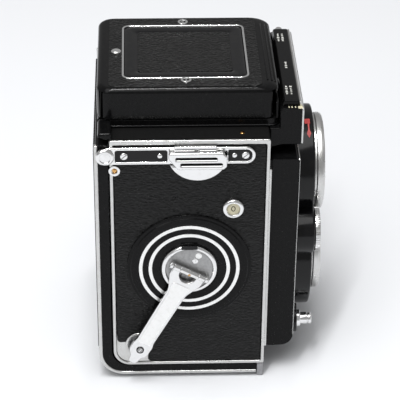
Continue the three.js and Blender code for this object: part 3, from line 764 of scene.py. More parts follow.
def build_strap_lug(label, side):
    where = outward(side)
    low, high = extent(f"{label}_strap_lug")
    outer = max(abs(low.x), abs(high.x))
    clip = rounded([(low.y, 118.4, 1.2), (low.y + 1.4, 117, 0.8), (16.6, 117, 2.0),
                    (high.y, 122.4, 2.0), (high.y, high.z, 1.2), (low.y + 1.8, high.z, 0.8),
                    (low.y, high.z - 2, 0.8)])
    slots = [rectangle(-0.6, 17.6, 122.0, 123.1, 0.5), rectangle(-2.9, 15.4, 119.1, 120.2, 0.5)]
    loops = [mirrored(loop, side) for loop in (clip, *slots)]
    slab(f"{label}_lug_clip", loops, outer - 2.6, outer, where, 0.7, BODY, CHROME, f"{label}_strap_lug")
    slab(f"{label}_lug_core", [mirrored(inset(clip, 1.2), side)], outer - 2.9, outer - 1.6, where, 0.1,
         BODY, MATT_PLASTIC)
    middle_y = (low.y + high.y) / 2
    bow = [(middle_y + 12.2, 118.2)]
    for step in range(25):
        angle = math.radians(-28 - 124 * step / 24)
        bow.append((middle_y + BOW_RADIUS * math.cos(angle),
                    low.z + BOW_RADIUS * (1 + math.sin(angle))))
    bow.append((middle_y - 12.2, 118.2))
    half_round = [Vector(p) for p in reversed(bow)]
    slab(f"{label}_lug_bow", [mirrored(half_round, side)], outer - 4.3, outer - 1.5, where, 0.6, BODY,
         CHROME)
    tab = rounded([(-0.6, 125.2, 0.2), (7.0, 125.2, 0.2), (8.2, 126.2, 1.0), (9.4, 125.2, 0.2),
                   (18.4, 125.2, 0.2), (18.4, 127.4, 0.6), (-0.6, 127.4, 0.6)])
    slab(f"{label}_lug_tab", [mirrored(tab, side)], 47.6, 49.4, where, 0.3, BODY, CHROME)


def build_flash_contact():
    seat = outward(-1, (-46.9, 44.6, 114.6))
    ring("flash_contact_ring", 1.35, 2.6, 0, 1.0, seat, BODY, CHROME, ease=0.3)
    rivet("flash_contact_pin", 1.25, 0.7, seat, BODY, BRASS_CONTACT)


# ---- crank side
def crank_frame(height, along_arm=0.0, across_arm=0.0):
    """Drawn as (along the folded arm, across it), with depth out of the camera."""
    along = Vector((0, HANDLE.y - CRANK.y, HANDLE.z - CRANK.z)).normalized()
    sideways = OUT.cross(along)
    origin = Vector((-height, CRANK.y, CRANK.z)) + along * along_arm + sideways * across_arm
    return basis(along, sideways, OUT, origin)


def build_crank_disc():
    low, high = extent("crank_disc")
    seat = outward(-1, (high.x, CRANK.y, CRANK.z))
    top = high.x - low.x
    radius = (high.y - low.y) / 2
    profile = [(11, -0.3), (radius, -0.3), (radius, 0.25), (radius - 0.5, 0.5), (radius - 1.5, 0.5),
               (radius - 1.9, top), (24.0, top), (23.7, top - 0.12), (13.6, top - 0.12),
               (13.2, top - 0.5), (11, top - 0.5)]
    spin("crank_rosette", profile, seat, BODY, SATIN_BLACK, "crank_disc", ease=0.16, segments=160)
    for name, (inner, outer) in ROSETTE_RINGS.items():
        ring(f"crank_rosette_ring_{name}", inner, outer, top - 0.4, top + 0.06, seat, BODY, WHITE_METAL,
             ease=0.1, segments=160)


def build_crank_hub():
    base = -extent("crank_disc")[1].x
    seat = crank_frame(base + 0.3)
    offset = (HINGE - CRANK).dot(seat.to_3x3() @ X)
    rim = [(10.6, -2), (12.8, -2), (12.8, 1.0), (12.4, 1.6), (11.8, 1.85), (11.0, 1.8), (10.7, 1.1),
           (10.6, 1.0)]
    spin("crank_hub_rim", rim, seat, "crank", CHROME, "crank_hub", segments=128)
    face = [(0, 0.7), (10.7, 0.7), (10.7, 1.2), (10.4, 1.3), (0, 1.3)]
    spin("crank_hub_face", face, seat, "crank", STEEL, ease=0.1)
    notch_at = outward(-1, (-(base + 0.3), CRANK.y, CRANK.z))
    notch = rectangle(-3.7, 3.7, 11.0, 12.95, 0.3)
    slab("crank_hub_notch", [notch], 1.2, 2.0, notch_at, 0.1, "crank", PAINTED_CHROME)
    out = -HINGE.x - base - 0.3
    for end, name in ((-1, "low"), (1, "high")):
        ear = rounded([(offset - 1.6, 0.9, 0.2), (offset + 1.6, 0.9, 0.2),
                       (offset + 1.6, out + 1.2, 1.4), (offset - 1.6, out + 1.2, 1.4)])
        ear_at = end * EAR_OFFSET
        slab(f"crank_hub_ear_{name}", [ear], ear_at - 0.7, ear_at + 0.7, tipped(seat), 0.2, "crank",
             CHROME)
    place = outward(-1, (-(base + 1.55), CRANK.y - 4.2, CRANK.z + 7.2))
    rivet("crank_hub_stud", 1.5, 0.3, place, "crank", WHITE_PIN)
    place = outward(-1, (-(base + 1.55), CRANK.y - 2.6, CRANK.z + 4.4))
    slotted_screw("crank_hub_mark_screw", 1.4, 0.3, place, "crank", turn=1.2)
    low_screw = crank_frame(base + 1.5, offset + 4.4)
    slotted_screw("crank_hub_screw", 2.3, 0.5, low_screw, "crank", STEEL_PIN, turn=0.3)
    ring("crank_hub_washer", 2.4, 3.3, -0.1, 0.35, low_screw, "crank", STEEL, ease=0.15)


def build_crank_arm():
    hinge_out = -HINGE.x
    length = (HANDLE - HINGE).length
    offset = (HINGE - CRANK).dot(crank_frame(0).to_3x3() @ X)
    seat = crank_frame(hinge_out, offset)
    low, high = extent("crank_arm")
    thickness = high.x - low.x
    half_plan = [(0.6, 8.0, 0.2), (4.2, 7.9, 2.2), (12.0, 4.5, 8), (length - 6, 4.1, 6),
                 (length - 3, 4.7, 2.5), (length + 2.2, 4.6, 2.6), (length + 4.6, 2.5, 1.6),
                 (length + ARM_TIP, 2.1, 2.0)]
    turns = [math.pi * i / 24 for i in range(1, 24)]
    notch = [(1.2 + 4.1 * math.sin(a), 4.1 * math.cos(a), 0) for a in turns]
    plan = both_halves(half_plan) + [(0.6, 4.1, 0), *notch, (0.6, -4.1, 0)]
    slab("crank_arm_blade", [rounded(plan), circle(1.4, (length, 0), 32)], -thickness * 0.42,
         thickness * 0.42, seat, 0.4, "arm", CHROME, "crank_arm")
    skin_half = [(7.2, 4.6, 1.2), (13.8, 3.4, 8), (length - 6, 3.1, 5), (length - 4, 3.4, 1.5)]
    skin = rounded(both_halves(skin_half))
    slab("crank_arm_skin", [skin], thickness * 0.3, thickness * 0.5, seat, 0.12, "arm", WHITE_METAL)
    radius = thickness / 2 + 0.35
    profile = []
    for low_z, high_z in ((-8.0, -4.6), (-4.6, 4.6), (4.6, 8.0)):
        profile += [(radius - 0.22, low_z), (radius, low_z + 0.25), (radius, high_z - 0.25),
                    (radius - 0.22, high_z)]
    done(turned("crank_arm_barrel", [(0.8, -8.0)] + profile + [(0.8, 8.0)], tipped(seat), 48), "arm",
         CHROME)
    spot = crank_frame(hinge_out + radius - 0.15, offset + 0.3, 0.2)
    rivet("crank_arm_spot", 0.6, 0.3, spot, "arm", BRASS_PIN)


def build_crank_handle():
    low, high = extent("crank_handle_knob")
    thickness = extent("crank_arm")[1].x - extent("crank_arm")[0].x
    centre = -HINGE.x
    seat = outward(-1, (0, HANDLE.y, HANDLE.z))
    bottom, top = -high.x, -low.x
    radius = (high.y - low.y) / 2
    knob = [(0, bottom), (radius - 0.7, bottom), (radius, bottom + 0.6),
            (radius, centre - thickness / 2 - 0.35), (1.2, centre - thickness / 2 - 0.35),
            (1.2, top - 0.5), (0, top - 0.5)]
    spin("crank_handle_grip", knob, seat, "handle", CHROME, "crank_handle_knob", ease=0.25)
    face = centre + thickness / 2
    ring("crank_handle_washer", 1.45, 1.75, face + 0.02, face + 0.25, seat, "handle", MATT_CHROME,
         ease=0.05)
    slotted_screw("crank_handle_screw", 1.35, 0.5, outward(-1, (-face + 0.1, HANDLE.y, HANDLE.z)),
                  "handle", STEEL_PIN, turn=0.9)


def build_counter():
    place = middle("counter_bezel")
    seat = outward(-1, (extent("counter_bezel")[1].x, place.y, place.z))
    dome = [(2.9, -0.2), (4.9, -0.2), (4.9, 0.5), (4.5, 1.2), (3.7, 1.5), (3.1, 1.3), (2.9, 0.6)]
    spin("counter_ring", dome, seat, BODY, CHROME, "counter_bezel", ease=0.25)
    dial = [(0, 0), (2.85, 0), (2.85, 0.55), (0, 0.55)]
    spin("counter_disc", dial, seat, "counter", CREAM, "counter_dial", ease=0.1, segments=64)
    zero = [[Vector((share * p.x, p.y)) for p in circle(radius, count=32)] for share,
            radius in ((0.7, 1.4), (0.6, 1.05))]
    slab("counter_mark", zero, 0.5, 0.62, seat, 0.02, "counter", MATT_PLASTIC)


# ---- knob side
def build_focus_knob():
    low, high = extent("focus_knob")
    place = middle("focus_knob")
    seat = outward(1, (0, place.y, place.z))
    radius = (high.z - low.z) / 2
    slab("focus_knob_grip", [toothed(radius, 0.45, 72)], 48.0, high.x - 0.7, seat, 0.12, "focusing",
         ALUMINIUM, "focus_knob")
    skirt = [(0, 47.6), (radius + 0.1, 47.6), (radius + 0.1, 48.3), (radius - 0.5, 48.3), (0, 48.3)]
    spin("focus_knob_skirt", skirt, seat, "focusing", BRIGHT_ALUMINIUM)
    profile = [(11, high.x - 2), (radius - 0.5, high.x - 2), (radius - 0.6, high.x - 0.3),
               (radius - 1.3, high.x), (11.6, high.x), (11, high.x - 0.6)]
    spin("focus_knob_rim", profile, seat, "focusing", BRIGHT_ALUMINIUM)
    cap = [(0, high.x - 1.6), (11.1, high.x - 1.6), (11.1, high.x - 0.5), (9.6, high.x - 0.2),
           (6, high.x - 0.1), (5.6, high.x - 0.5), (0, high.x - 0.4)]
    spin("focus_knob_cap", cap, seat, "focusing", ALUMINIUM)
    slotted_screw("focus_knob_screw", 2.6, 0.8, outward(1, (high.x - 0.5, place.y, place.z)),
                  "focusing")
    low, high = extent("focus_scale_ring")
    outer = (high.z - low.z) / 2
    ring("focus_scale", 11.3, outer, low.x, high.x, seat, "focusing", PLASTIC, "focus_scale_ring",
         ease=0.15)
    for step in range(24):
        angle = math.tau * step / 24
        length = 1.6 if step % 3 == 0 else 0.9
        mark = rectangle(outer - 0.4 - length, outer - 0.4, -0.14, 0.14, 0)
        turn = seat @ Matrix.Rotation(angle, 4, "Z")
        slab(f"focus_scale_mark_{step + 1}", [mark], high.x - 0.1, high.x + 0.06, turn, 0.02,
             "focusing", WHITE)


def build_spool(label):
    low, high = extent(f"{label}_spool")
    place = middle(f"{label}_spool")
    seat = across((0, place.y, place.z))
    radius = (high.z - low.z) / 2
    end = high.x
    for name, low_x, high_x in (("a", -end, -end + 1.3), ("b", end - 1.3, end)):
        turns = [math.tau * i / 6 for i in range(6)]
        holes = [circle(1.7, (7.6 * math.cos(a), 7.6 * math.sin(a)), 24) for a in turns]
        loops = [circle(radius, count=96), circle(3.3, count=40)] + holes
        nodes = [f"{label}_spool"] if name == "a" else []
        slab(f"{label}_flange_{name}", loops, low_x, high_x, seat, 0.25, label, PLASTIC, *nodes)
    ring(f"{label}_core", 3.3, 5.9, -end + 1, end - 1, seat, label, PLASTIC, segments=64)


def build_spool_knob(label):
    low, high = extent(f"{label}_spool_knob")
    body = f"{label}_pin"
    place = middle(f"{label}_spool_knob")
    seat = across((0, place.y, place.z))
    radius = (high.z - low.z) / 2
    stem = [(0, low.x), (2.8, low.x), (2.8, 48.2), (0, 48.2)]
    spin(f"{label}_knob_stem", stem, seat, body, STEEL, f"{label}_spool_knob", ease=0.3, segments=48)
    slab(f"{label}_knob_grip", [toothed(radius, 0.3, 40)], 48.3, high.x - 0.8, seat, 0.15, body, CHROME)
    cap = [(0, high.x - 1.2), (radius - 0.5, high.x - 1.2), (radius - 0.6, high.x - 0.4),
           (radius - 1.4, high.x), (1.8, high.x - 0.3), (0, high.x - 0.3)]
    spin(f"{label}_knob_cap", cap, seat, body, CHROME, ease=0.25, segments=64)
    ring(f"{label}_knob_collar", radius - 2.6, radius - 0.4, 47.0, 47.75, seat, BODY, SATIN_CHROME)


# ---- lens standard
LENSES = ("viewing", "taking")
VIEW_LOBE, TAKE_LOBE, WHEEL_LOBE = 27, 29.5, 11.5  # radii of the lens cover's outline
WHEELS = {"aperture_wheel": "aperture_control", "shutter_speed_wheel": "shutter_control"}


def ray_outline(centre, discs, steps=288):
    """Outline of overlapping discs (u, v, radius), seen from a point inside them all."""
    points = []
    for step in range(steps):
        angle = math.tau * step / steps
        ray = Vector((math.cos(angle), math.sin(angle)))
        reach = 0.0
        for u, v, radius in discs:
            to_disc = Vector((u - centre[0], v - centre[1]))
            along = to_disc.dot(ray)
            inside = radius ** 2 - to_disc.length_squared + along ** 2
            if inside > 0:
                reach = max(reach, along + math.sqrt(inside))
        points.append(Vector(centre) + ray * reach)
    return points


def cover_edge(disc, degrees, y):
    """On the rim of a disc: drawn as (along the lens axis, up round the rim), with depth outwards."""
    angle = math.radians(degrees)
    out = Vector((math.cos(angle), 0, math.sin(angle)))
    up = Vector((math.sin(angle), 0, -math.cos(angle)))
    return basis(up.cross(out), up, out, Vector((disc[0], y, disc[1])) + out * disc[2])


def build_lens_cover():
    low, high = extent("lens_cover")
    view = middle("viewing_lens_ring")
    take = middle("taking_lens_ring")
    wheel = middle("shutter_speed_wheel")
    discs = [(0, view.z, VIEW_LOBE), (0, take.z, TAKE_LOBE), (wheel.x, wheel.z, WHEEL_LOBE),
             (-wheel.x, wheel.z, WHEEL_LOBE)]
    outline = ray_outline((0, (view.z + take.z) / 2), discs)
    holes = [circle(16.4, (0, view.z), 96), circle(15.0, (0, take.z), 96)]
    holes += [circle(3.1, (x, wheel.z), 32) for x in (wheel.x, -wheel.x)]
    slab("front_cover", [outline, *holes], -high.y, -low.y, front(), 0.9, STANDARD, ENAMEL,
         "lens_cover")
    for name, disc in (("viewing", discs[0]), ("taking", discs[1])):
        seat = front((0, 0, disc[1]))
        ring(f"{name}_cover_bead", disc[2] - 2.3, disc[2] - 1.7, -low.y - 0.3, -low.y + 0.12, seat,
             STANDARD, ENAMEL, ease=0.1)
    arrow = rounded([(-1.0, -0.4, 0.1), (0, -2.6, 0.1), (1.0, -0.4, 0.1), (0.45, 1.6, 0.1),
                     (-0.45, 1.6, 0.1)])
    marks = (("stripe", 117, -44.4, rectangle(-0.35, 0.35, -2.6, 2.6, 0.1), "red"),
             ("arrow", 122, -44.4, arrow, "red"),
             ("mark", 108, -43.9, rectangle(-1.3, 1.3, -1.5, 1.5, 0.3), "red"),
             ("dot", 108.5, -40.0, rectangle(-0.8, 0.8, -1.5, 1.5, 0.3), "white"),
             ("second_dot", 116, -41.8, rectangle(-0.3, 0.3, -1.0, 1.0, 0.2), "white"))
    for name, degrees, y, loop, look in marks:
        slab(f"cover_index_{name}", [loop], -0.02, 0.12, cover_edge(discs[0], degrees, y), 0.03,
             STANDARD, ("cream_dial", look))


def build_lens(name):
    low, high = extent(f"{name}_lens_ring")
    place = middle(f"{name}_lens_ring")
    seat = front((0, 0, place.z))
    back, face = -high.y, -low.y
    outer = (high.x - low.x) / 2
    glass_low, glass_high = extent(f"{name}_lens_glass")
    inner = (glass_high.x - glass_low.x) / 2
    bayonet = [(inner + 1.2, back), (outer - 0.9, back), (outer - 0.9, back + 1.1), (outer, back + 1.3),
               (outer, face - 1.2), (outer - 0.3, face - 0.9), (outer - 0.3, face - 0.6),
               (outer - 0.9, face), (outer - 2.0, face), (outer - 2.3, face - 0.9),
               (outer - 3.3, face - 1.3), (inner + 1.4, face - 3.2)]
    spin(f"{name}_bayonet", bayonet, seat, STANDARD, SATIN_CHROME, f"{name}_lens_ring", ease=0.18,
         segments=144)
    barrel = [(inner + 1.3, back + 1.4), (inner + 1.3, back - 0.4)]
    for step in range(8):
        r = inner + 1.1 - step * 0.32
        h = back - 0.4 - step * 0.45
        barrel += [(r, h), (r, h - 0.3)]
    barrel += [(inner - 1.6, back - 6.0), (inner + 2.0, back - 6.0), (inner + 2.0, back + 1.4)]
    done(turned(f"{name}_barrel", barrel, seat, 96), STANDARD, MATT_ENAMEL)
    ring(f"{name}_retainer", inner - 1.9, inner + 1.0, back - 2.4, back - 1.6, seat, STANDARD,
         SATIN_BLACK)
    element = [(0, -glass_high.y), (inner - 0.4, -glass_high.y), (inner - 0.4, -glass_low.y - 2.6)]
    for step in range(12, -1, -1):
        share = step / 12
        element.append(((inner - 1.0) * share, -glass_low.y - 2.4 * share ** 2 - 0.1))
    done(turned(f"{name}_element", element, seat, 96), STANDARD, COATED_GLASS, f"{name}_lens_glass")


def build_wheel(node, body):
    low, high = extent(node)
    place = middle(node)
    seat = front((place.x, 0, place.z))
    radius = (high.x - low.x) / 2
    face = -low.y
    slab(f"{node}_rim", [toothed(radius, 0.6, 64), circle(6.4, count=64)], face - 2.6, face - 0.3, seat,
         0.12, body, CHROME, node)
    hub = [(0, face - 9), (2.6, face - 9), (2.6, face - 2.4), (6.6, face - 2.4), (6.6, face - 0.1),
           (5.4, face), (5.0, face - 0.5), (0, face - 0.4)]
    spin(f"{node}_hub", hub, seat, body, SATIN_CHROME, segments=64)
    slotted_screw(f"{node}_screw", 1.9, 0.7, front((place.x, low.y + 0.45, place.z)), body)
    for step in range(5):
        angle = math.radians(50 + 20 * step)
        mark = rectangle(7.2, 8.8, -0.16, 0.16, 0)
        turn = seat @ Matrix.Rotation(angle, 4, "Z")
        slab(f"{node}_mark_{step + 1}", [mark], face - 0.35, face - 0.22, turn, 0.02, body,
             MATT_PLASTIC)


def build_release():
    low, high = extent("release_button")
    place = middle("release_button")
    seat = front((place.x, 0, place.z))
    radius = (high.x - low.x) / 2
    face = -low.y
    button = [(0, -high.y), (radius, -high.y), (radius, face - 2.2), (radius - 0.35, face - 2.0),
              (radius - 0.35, face - 1.7), (radius, face - 1.5), (radius, face - 0.4),
              (radius - 0.5, face), (1.2, face - 0.1), (0.9, face - 0.9), (0, face - 1.0)]
    spin("release_plunger", button, seat, "release", CHROME, "release_button", ease=0.12, segments=64)
    low, high = extent("release_collar")
    outer = (high.x - low.x) / 2
    collar = [(radius + 0.3, -high.y), (outer, -high.y), (outer, -low.y - 2.2),
              (outer - 0.5, -low.y - 2.0), (outer - 0.5, -low.y - 0.4), (outer - 0.9, -low.y),
              (radius + 0.3, -low.y)]
    spin("release_guard", collar, seat, STANDARD, CHROME, "release_collar", ease=0.15, segments=64)
    low, high = extent("release_lock")
    slab("release_lock_ring", [ray_outline((0, 0), [(0, 0, 6.4), (0, 6.6, 1.9)]), circle(5.0)], -high.y,
         -low.y, seat, 0.3, "lock", ENAMEL, "release_lock")
    rivet("release_lock_dot", 0.5, 0.15, front((place.x, low.y + 0.05, place.z + 7.0)), "lock", RED)


def build_small_controls():
    low, high = extent("self_timer_lever")
    place = pivot("self_timer_turn")
    seat = front((place.x, 0, place.z))
    lever = ray_outline((0, 2), [(0, 0, 3.2), (0, 4, 1.7), (0, 7, 1.6), (0, 10.3, 1.75), (0, 2, 2.2)])
    slab("self_timer_arm", [lever], -low.y - 1.3, -low.y, seat, 0.3, "self_timer", CHROME,
         "self_timer_lever")
    ring("self_timer_boss", 0.9, 3.1, -high.y, -low.y + 0.4, seat, "self_timer", CHROME, ease=0.3)
    rivet("self_timer_dot", 0.9, 0.6, front((place.x, low.y, place.z)), "self_timer", STEEL_PIN)
    low, high = extent("sync_socket")
    place = middle("sync_socket")
    seat = front((place.x, 0, place.z))
    outer = (high.x - low.x) / 2
    socket = [(1.7, -high.y), (outer, -high.y), (outer, -low.y - 1.4), (outer - 0.4, -low.y - 1.2),
              (outer - 0.4, -low.y - 0.3), (outer - 0.8, -low.y), (1.7, -low.y)]
    spin("sync_socket_ring", socket, seat, STANDARD, CHROME, "sync_socket", ease=0.15, segments=64)
    bar("sync_socket_pin", 0.6, -low.y - 0.6 + high.y, front((place.x, high.y, place.z)), STANDARD,
        BRASS_CONTACT)
    low, high = extent("front_standard")
    edge = [rectangle(low.x + by, high.x - by, 19 + by, high.z - by, 1.6 - by) for by in (0, 0.8)]
    slab("standard_edge_line", edge, -low.y - 0.5, -low.y + 0.12, front(), 0.15, STANDARD, ALUMINIUM)


# ---- meter housing
METER_TOP = 139.6
BAR_END = 35.5  # half the length of the meter's top bar
POST = (37.0, -33.2, 0)
LEDGE_MARKS = (-32.6, -33.9, -35.4)
CELL_STEP = 0.42
CELL_PITCH = 3.6
CELL_ROW = CELL_PITCH * 0.866  # the small lenses stand in a triangular pattern
CELL_RADIUS = CELL_PITCH * 0.53


def build_meter():
    low, high = extent("meter_housing")
    window_low, window_high = extent("meter_window")
    shell = [(low.y + 0.8, 121.5, 0.6), (low.y + 0.8, 139.7, 0.5), (-29.6, 139.7, 0.5),
             (-28.7, 138, 0.5), (-28.7, 129.9, 0.3), (high.y, 129.9, 0.3), (high.y, low.z, 0.3),
             (-30, 121.5, 1.0)]
    slab("meter_body", [list(reversed(rounded(shell)))], low.x, high.x, across(), 0.5, BODY,
         SATIN_BLACK, "meter_housing")
    cap = rounded([(-37.9, 139.4, 0.2), (-29.5, 139.4, 0.2), (-30.6, high.z - 0.2, 0.8),
                   (-37.1, high.z - 0.2, 0.8)])
    slab("meter_bar", [cap], -BAR_END, BAR_END, across(), 0.6, BODY, SATIN_BLACK)
    frame_outline = rectangle(low.x, high.x, 121.6, 139.9, 1.2)
    window = rectangle(window_low.x - 0.3, window_high.x + 0.3, window_low.z - 0.3, window_high.z + 0.3,
                       0.8)
    slab("meter_frame", [frame_outline, window], -low.y - 0.9, -low.y, front(), 0.3, BODY, ALUMINIUM)
    slope = rounded([(-39.2, 139.2, 0.3), (-37.6, 139.2, 0.2), (-37.2, 142.1, 0.2),
                     (-38.0, 142.2, 0.3)])
    slab("meter_slope", [slope], -BAR_END - 0.3, BAR_END + 0.3, across(), 0.3, BODY, ALUMINIUM)
    ledge = rectangle(low.x + 0.2, -35.8, -38.8, -36.6, 0.4)
    slab("meter_ledge", [ledge], METER_TOP, METER_TOP + 0.35, flat(), 0.1, BODY, CREAM)
    for index, y in enumerate(LEDGE_MARKS):
        mark = rectangle(-37.4, -36.2, y - 0.25, y + 0.25, 0.1)
        slab(f"meter_ledge_mark_{index + 1}", [mark], METER_TOP + 0.3, METER_TOP + 0.45, flat(), 0.03,
             BODY, CREAM)
    build_meter_marks(high.z)
    post_at = flat(POST)
    post = [(0, METER_TOP), (1.7, METER_TOP), (1.7, 141.6), (1.2, 142.2), (0, 142.3)]
    spin("meter_post", post, post_at, BODY, CHROME, segments=ROUND_SEGMENTS)
    band = [(1.6, 140.2), (1.85, 140.2), (1.85, 140.9), (1.6, 140.9)]
    spin("meter_post_band", band, post_at, BODY, RED, ease=0.08, segments=ROUND_SEGMENTS)
    build_cell_window(window_low, window_high)


def build_meter_marks(top):
    """Three groups of small marks on the meter's top bar, in (centre, columns, row positions)."""
    draw = random.Random(4)
    groups = ((-26, 5, (-34.2, -32.2)), (-1, 4, (-33.7,)), (26, 5, (-34.2, -32.2)))
    for group, (centre, columns, rows) in enumerate(groups):
        for index in range(columns):
            x = centre + (index - 2) * 1.7
            for row, y in enumerate(rows):
                width = draw.uniform(0.25, 0.45)
                depth = draw.uniform(0.35, 0.6)
                mark = rectangle(x - width, x + width, y - depth, y + depth, 0.15)
                slab(f"meter_mark_{group + 1}_{index + 1}_{row + 1}", [mark], top - 0.25, top - 0.12,
                     flat(), 0.03, BODY, WHITE)


def build_cell_window(low, high):
    """The light cell's window: a sheet moulded into rows of small lenses."""
    columns = int((high.x - low.x) / CELL_STEP)
    rows = int((high.z - low.z) / CELL_STEP)
    face = -low.y
    verts = []
    for j in range(rows + 1):
        for i in range(columns + 1):
            u = low.x + (high.x - low.x) * i / columns
            v = low.z + (high.z - low.z) * j / rows
            row = round((v - low.z) / CELL_ROW - 0.5)
            shift = CELL_PITCH / 2 if row % 2 else 0
            column = round((u - low.x - shift) / CELL_PITCH)
            du = u - low.x - shift - column * CELL_PITCH
            dv = v - low.z - (row + 0.5) * CELL_ROW
            bulge = max(0.0, 1 - (du * du + dv * dv) / CELL_RADIUS ** 2)
            edge = i in (0, columns) or j in (0, rows)
            verts.append((u, v, face - 0.7 + (0 if edge else 0.6 * bulge)))
    faces = []
    for j in range(rows):
        for i in range(columns):
            a = j * (columns + 1) + i
            faces.append((a, a + 1, a + columns + 2, a + columns + 1))
    mesh = bpy.data.meshes.new("cell_window")
    mesh.from_pydata(verts, [], faces)
    sheet = to_object("cell_window", mesh, front())
    thick = sheet.modifiers.new("thickness", "SOLIDIFY")
    thick.thickness = 0.3 * MM
    done(sheet, BODY, GLASS, "meter_window")
    slab("cell_plate", [rectangle(low.x, high.x, low.z, high.z, 0.5)], face - 2.2, face - 1.4, front(),
         0.1, BODY, CELL_METAL)


# ---- hood
LID_ROUND = 2.6
LID_SLOPE = 7.0
LID_CORNER = 6.5
LID_RIVETS = {"crank_side": -28.8, "knob_side": 28.8}
LID_KNUCKLES = {"crank_side": -24.5, "knob_side": 21.0}
LID_RIVET_Y = 12.5
CATCH_Y = 43.5
RIB_ANGLES = (34, 52, 70)  # round the shoulder, from the front wall


def lid_shoulder():
    """Height at which the lid's walls turn into its top."""
    return extent("hood_lid")[1].z - 0.2 - LID_ROUND


def lid_rings():
    """Rings of the lid's outer skin, from its lower edge to the top of its rounded shoulder."""
    low, high = extent("hood_lid")
    shoulder = lid_shoulder()
    levels = [(low.z, 0.5, 0.5), (low.z + 0.3, 0.1, 0.1), (low.z + 0.7, 0, 0), (shoulder - 4, 0, 0),
              (shoulder, 0, 0)]
    for step in range(1, 9):
        angle = math.radians(90 * step / 8)
        inward = 1 - math.cos(angle)
        levels.append((shoulder + LID_ROUND * math.sin(angle), LID_ROUND * inward, LID_SLOPE * inward))
    rings = []
    for z, sides, front_in in levels:
        radius = LID_CORNER - sides * 0.55
        loop = rectangle(low.x + sides, high.x - sides, low.y + front_in, high.y - sides, radius)
        rings.append(at_height(loop, z))
    return rings


def build_lid():
    low, high = extent("hood_lid")
    flap_low, flap_high = extent("finder_flap")
    room = Vector((0.3, 0.3, 0))
    lid = loft("lid_shell", lid_rings())
    cuts = {"lid_hollow": ((low.x + 1.2, low.y + 1.3, 130), (high.x - 1.2, high.y - 1.2, high.z - 2)),
            "lid_front_gap": ((-34.9, low.y - 3, 130), (34.9, low.y + 1.4, 145.8)),
            "lid_window": (Vector((*(flap_low - room).xy, 140)), Vector((*(flap_high + room).xy, 150)))}
    for name, (start, end) in cuts.items():
        carve(lid, cuboid(name, start, end))
    done(lid, "lid", SATIN_BLACK, "hood_lid")
    surround = rectangle(flap_low.x - 0.1, flap_high.x + 0.1, flap_low.y - 0.1, flap_high.y + 0.1, 2.6)
    frame_loop = inset(surround, -1.0)
    panel = rectangle(low.x + 2.4, high.x - 2.4, low.y + 7.0, high.y - 5.2, 3.2)
    slab("lid_leather", [panel, inset(surround, -0.8)], high.z - 0.6, high.z + 0.12, flat(), 0.3, "lid",
         LEATHER)
    slab("lid_flap_frame", [frame_loop, surround], high.z - 1.4, high.z + 0.25, flat(), 0.25, "lid",
         BRIGHT_ALUMINIUM)
    for name, x in LID_RIVETS.items():
        top = flat((x, LID_RIVET_Y, high.z))
        ring(f"lid_rivet_ring_{name}", 1.3, 2.4, -0.2, 0.8, top, "lid", PIN, ease=0.35)
        bar(f"lid_rivet_stem_{name}", 0.45, 3.2, across((x - 3.2, LID_RIVET_Y, high.z + 0.4)), "lid",
            PIN)
    catch = [(0, -0.2), (2.3, -0.2), (2.3, 0.3), (1.6, 0.75), (0, 0.9)]
    spin("lid_catch", catch, flat((0, CATCH_Y, high.z)), "lid", PIN, ease=0.25)
    shoulder = lid_shoulder()
    for index, degrees in enumerate(RIB_ANGLES):
        angle = math.radians(degrees)
        y = low.y + LID_SLOPE * (1 - math.cos(angle))
        z = shoulder + LID_ROUND * math.sin(angle)
        bar(f"lid_front_rib_{index + 1}", 0.4, 56, across((-28, y, z)), "lid", SATIN_BLACK)
    hinge = pivot("hood_lid_open")
    for name, x in LID_KNUCKLES.items():
        bar(f"lid_knuckle_{name}", 1.35, 3.5, across((x, hinge.y - 0.6, hinge.z)), "lid", ENAMEL)


def build_flap():
    low, high = extent("finder_flap")
    top = high.z
    levels = [(0.0, low.z), (0.0, top - 1.0), (0.15, top - 0.5), (0.6, top - 0.15), (1.4, top),
              (2.6, top), (4.2, top - 0.1), (5.3, top - 0.25), (5.8, top - 0.6)]
    rings = []
    for by, z in levels:
        loop = rectangle(low.x + by, high.x - by, low.y + by, high.y - by, 2.5 - by * 0.15)
        rings.append(at_height(loop, z))
    done(loft("flap_plate", rings), "flap", ENAMEL, "finder_flap")
    panel = rectangle(low.x + 5.7, high.x - 5.7, low.y + 6.1, high.y - 6.1, 1.6)
    slab("flap_leather", [panel], top - 0.9, top - 0.12, flat(), 0.2, "flap", LEATHER)


def build_hood_base():
    low, high = extent("hood_base")
    opening = rectangle(-30.5, 30.5, -18, 42.5, 1)
    outline = rectangle(low.x, high.x, low.y, high.y, 3)
    slab("hood_neck", [outline, opening], low.z, 133.5, flat(), 0.4, BODY, SATIN_BLACK, "hood_base")
    slab("hood_bead", [inset(outline, -0.35), inset(opening, -2)], low.z, low.z + 0.9, flat(), 0.35,
         BODY, ENAMEL)
    slab("hood_front_wall", [rectangle(-34.4, 34.4, 133, high.z, 0.4)], -low.y - 1.2, -low.y, front(),
         0.3, BODY, SATIN_BLACK)
    for label, side in SIDES.items():
        outline = rounded([(45.6, 129.7, 0.2), (48.3, 129.7, 0.4), (50.4, 130.6, 0.6),
                           (51.9, 131.5, 0.5), (51.4, 133.1, 1.0), (45.6, 133.4, 1.0)])
        start, end = sorted((side * 33.6, side * 47.2))
        slab(f"{label}_shoulder", [outline], start, end, across(), 0.9, BODY, SATIN_BLACK)
        screw = flat((side * 41, -12, 129.5))
        slotted_screw(f"{label}_deck_screw", 1.15, 0.6, screw, BODY, BRASS_PIN)


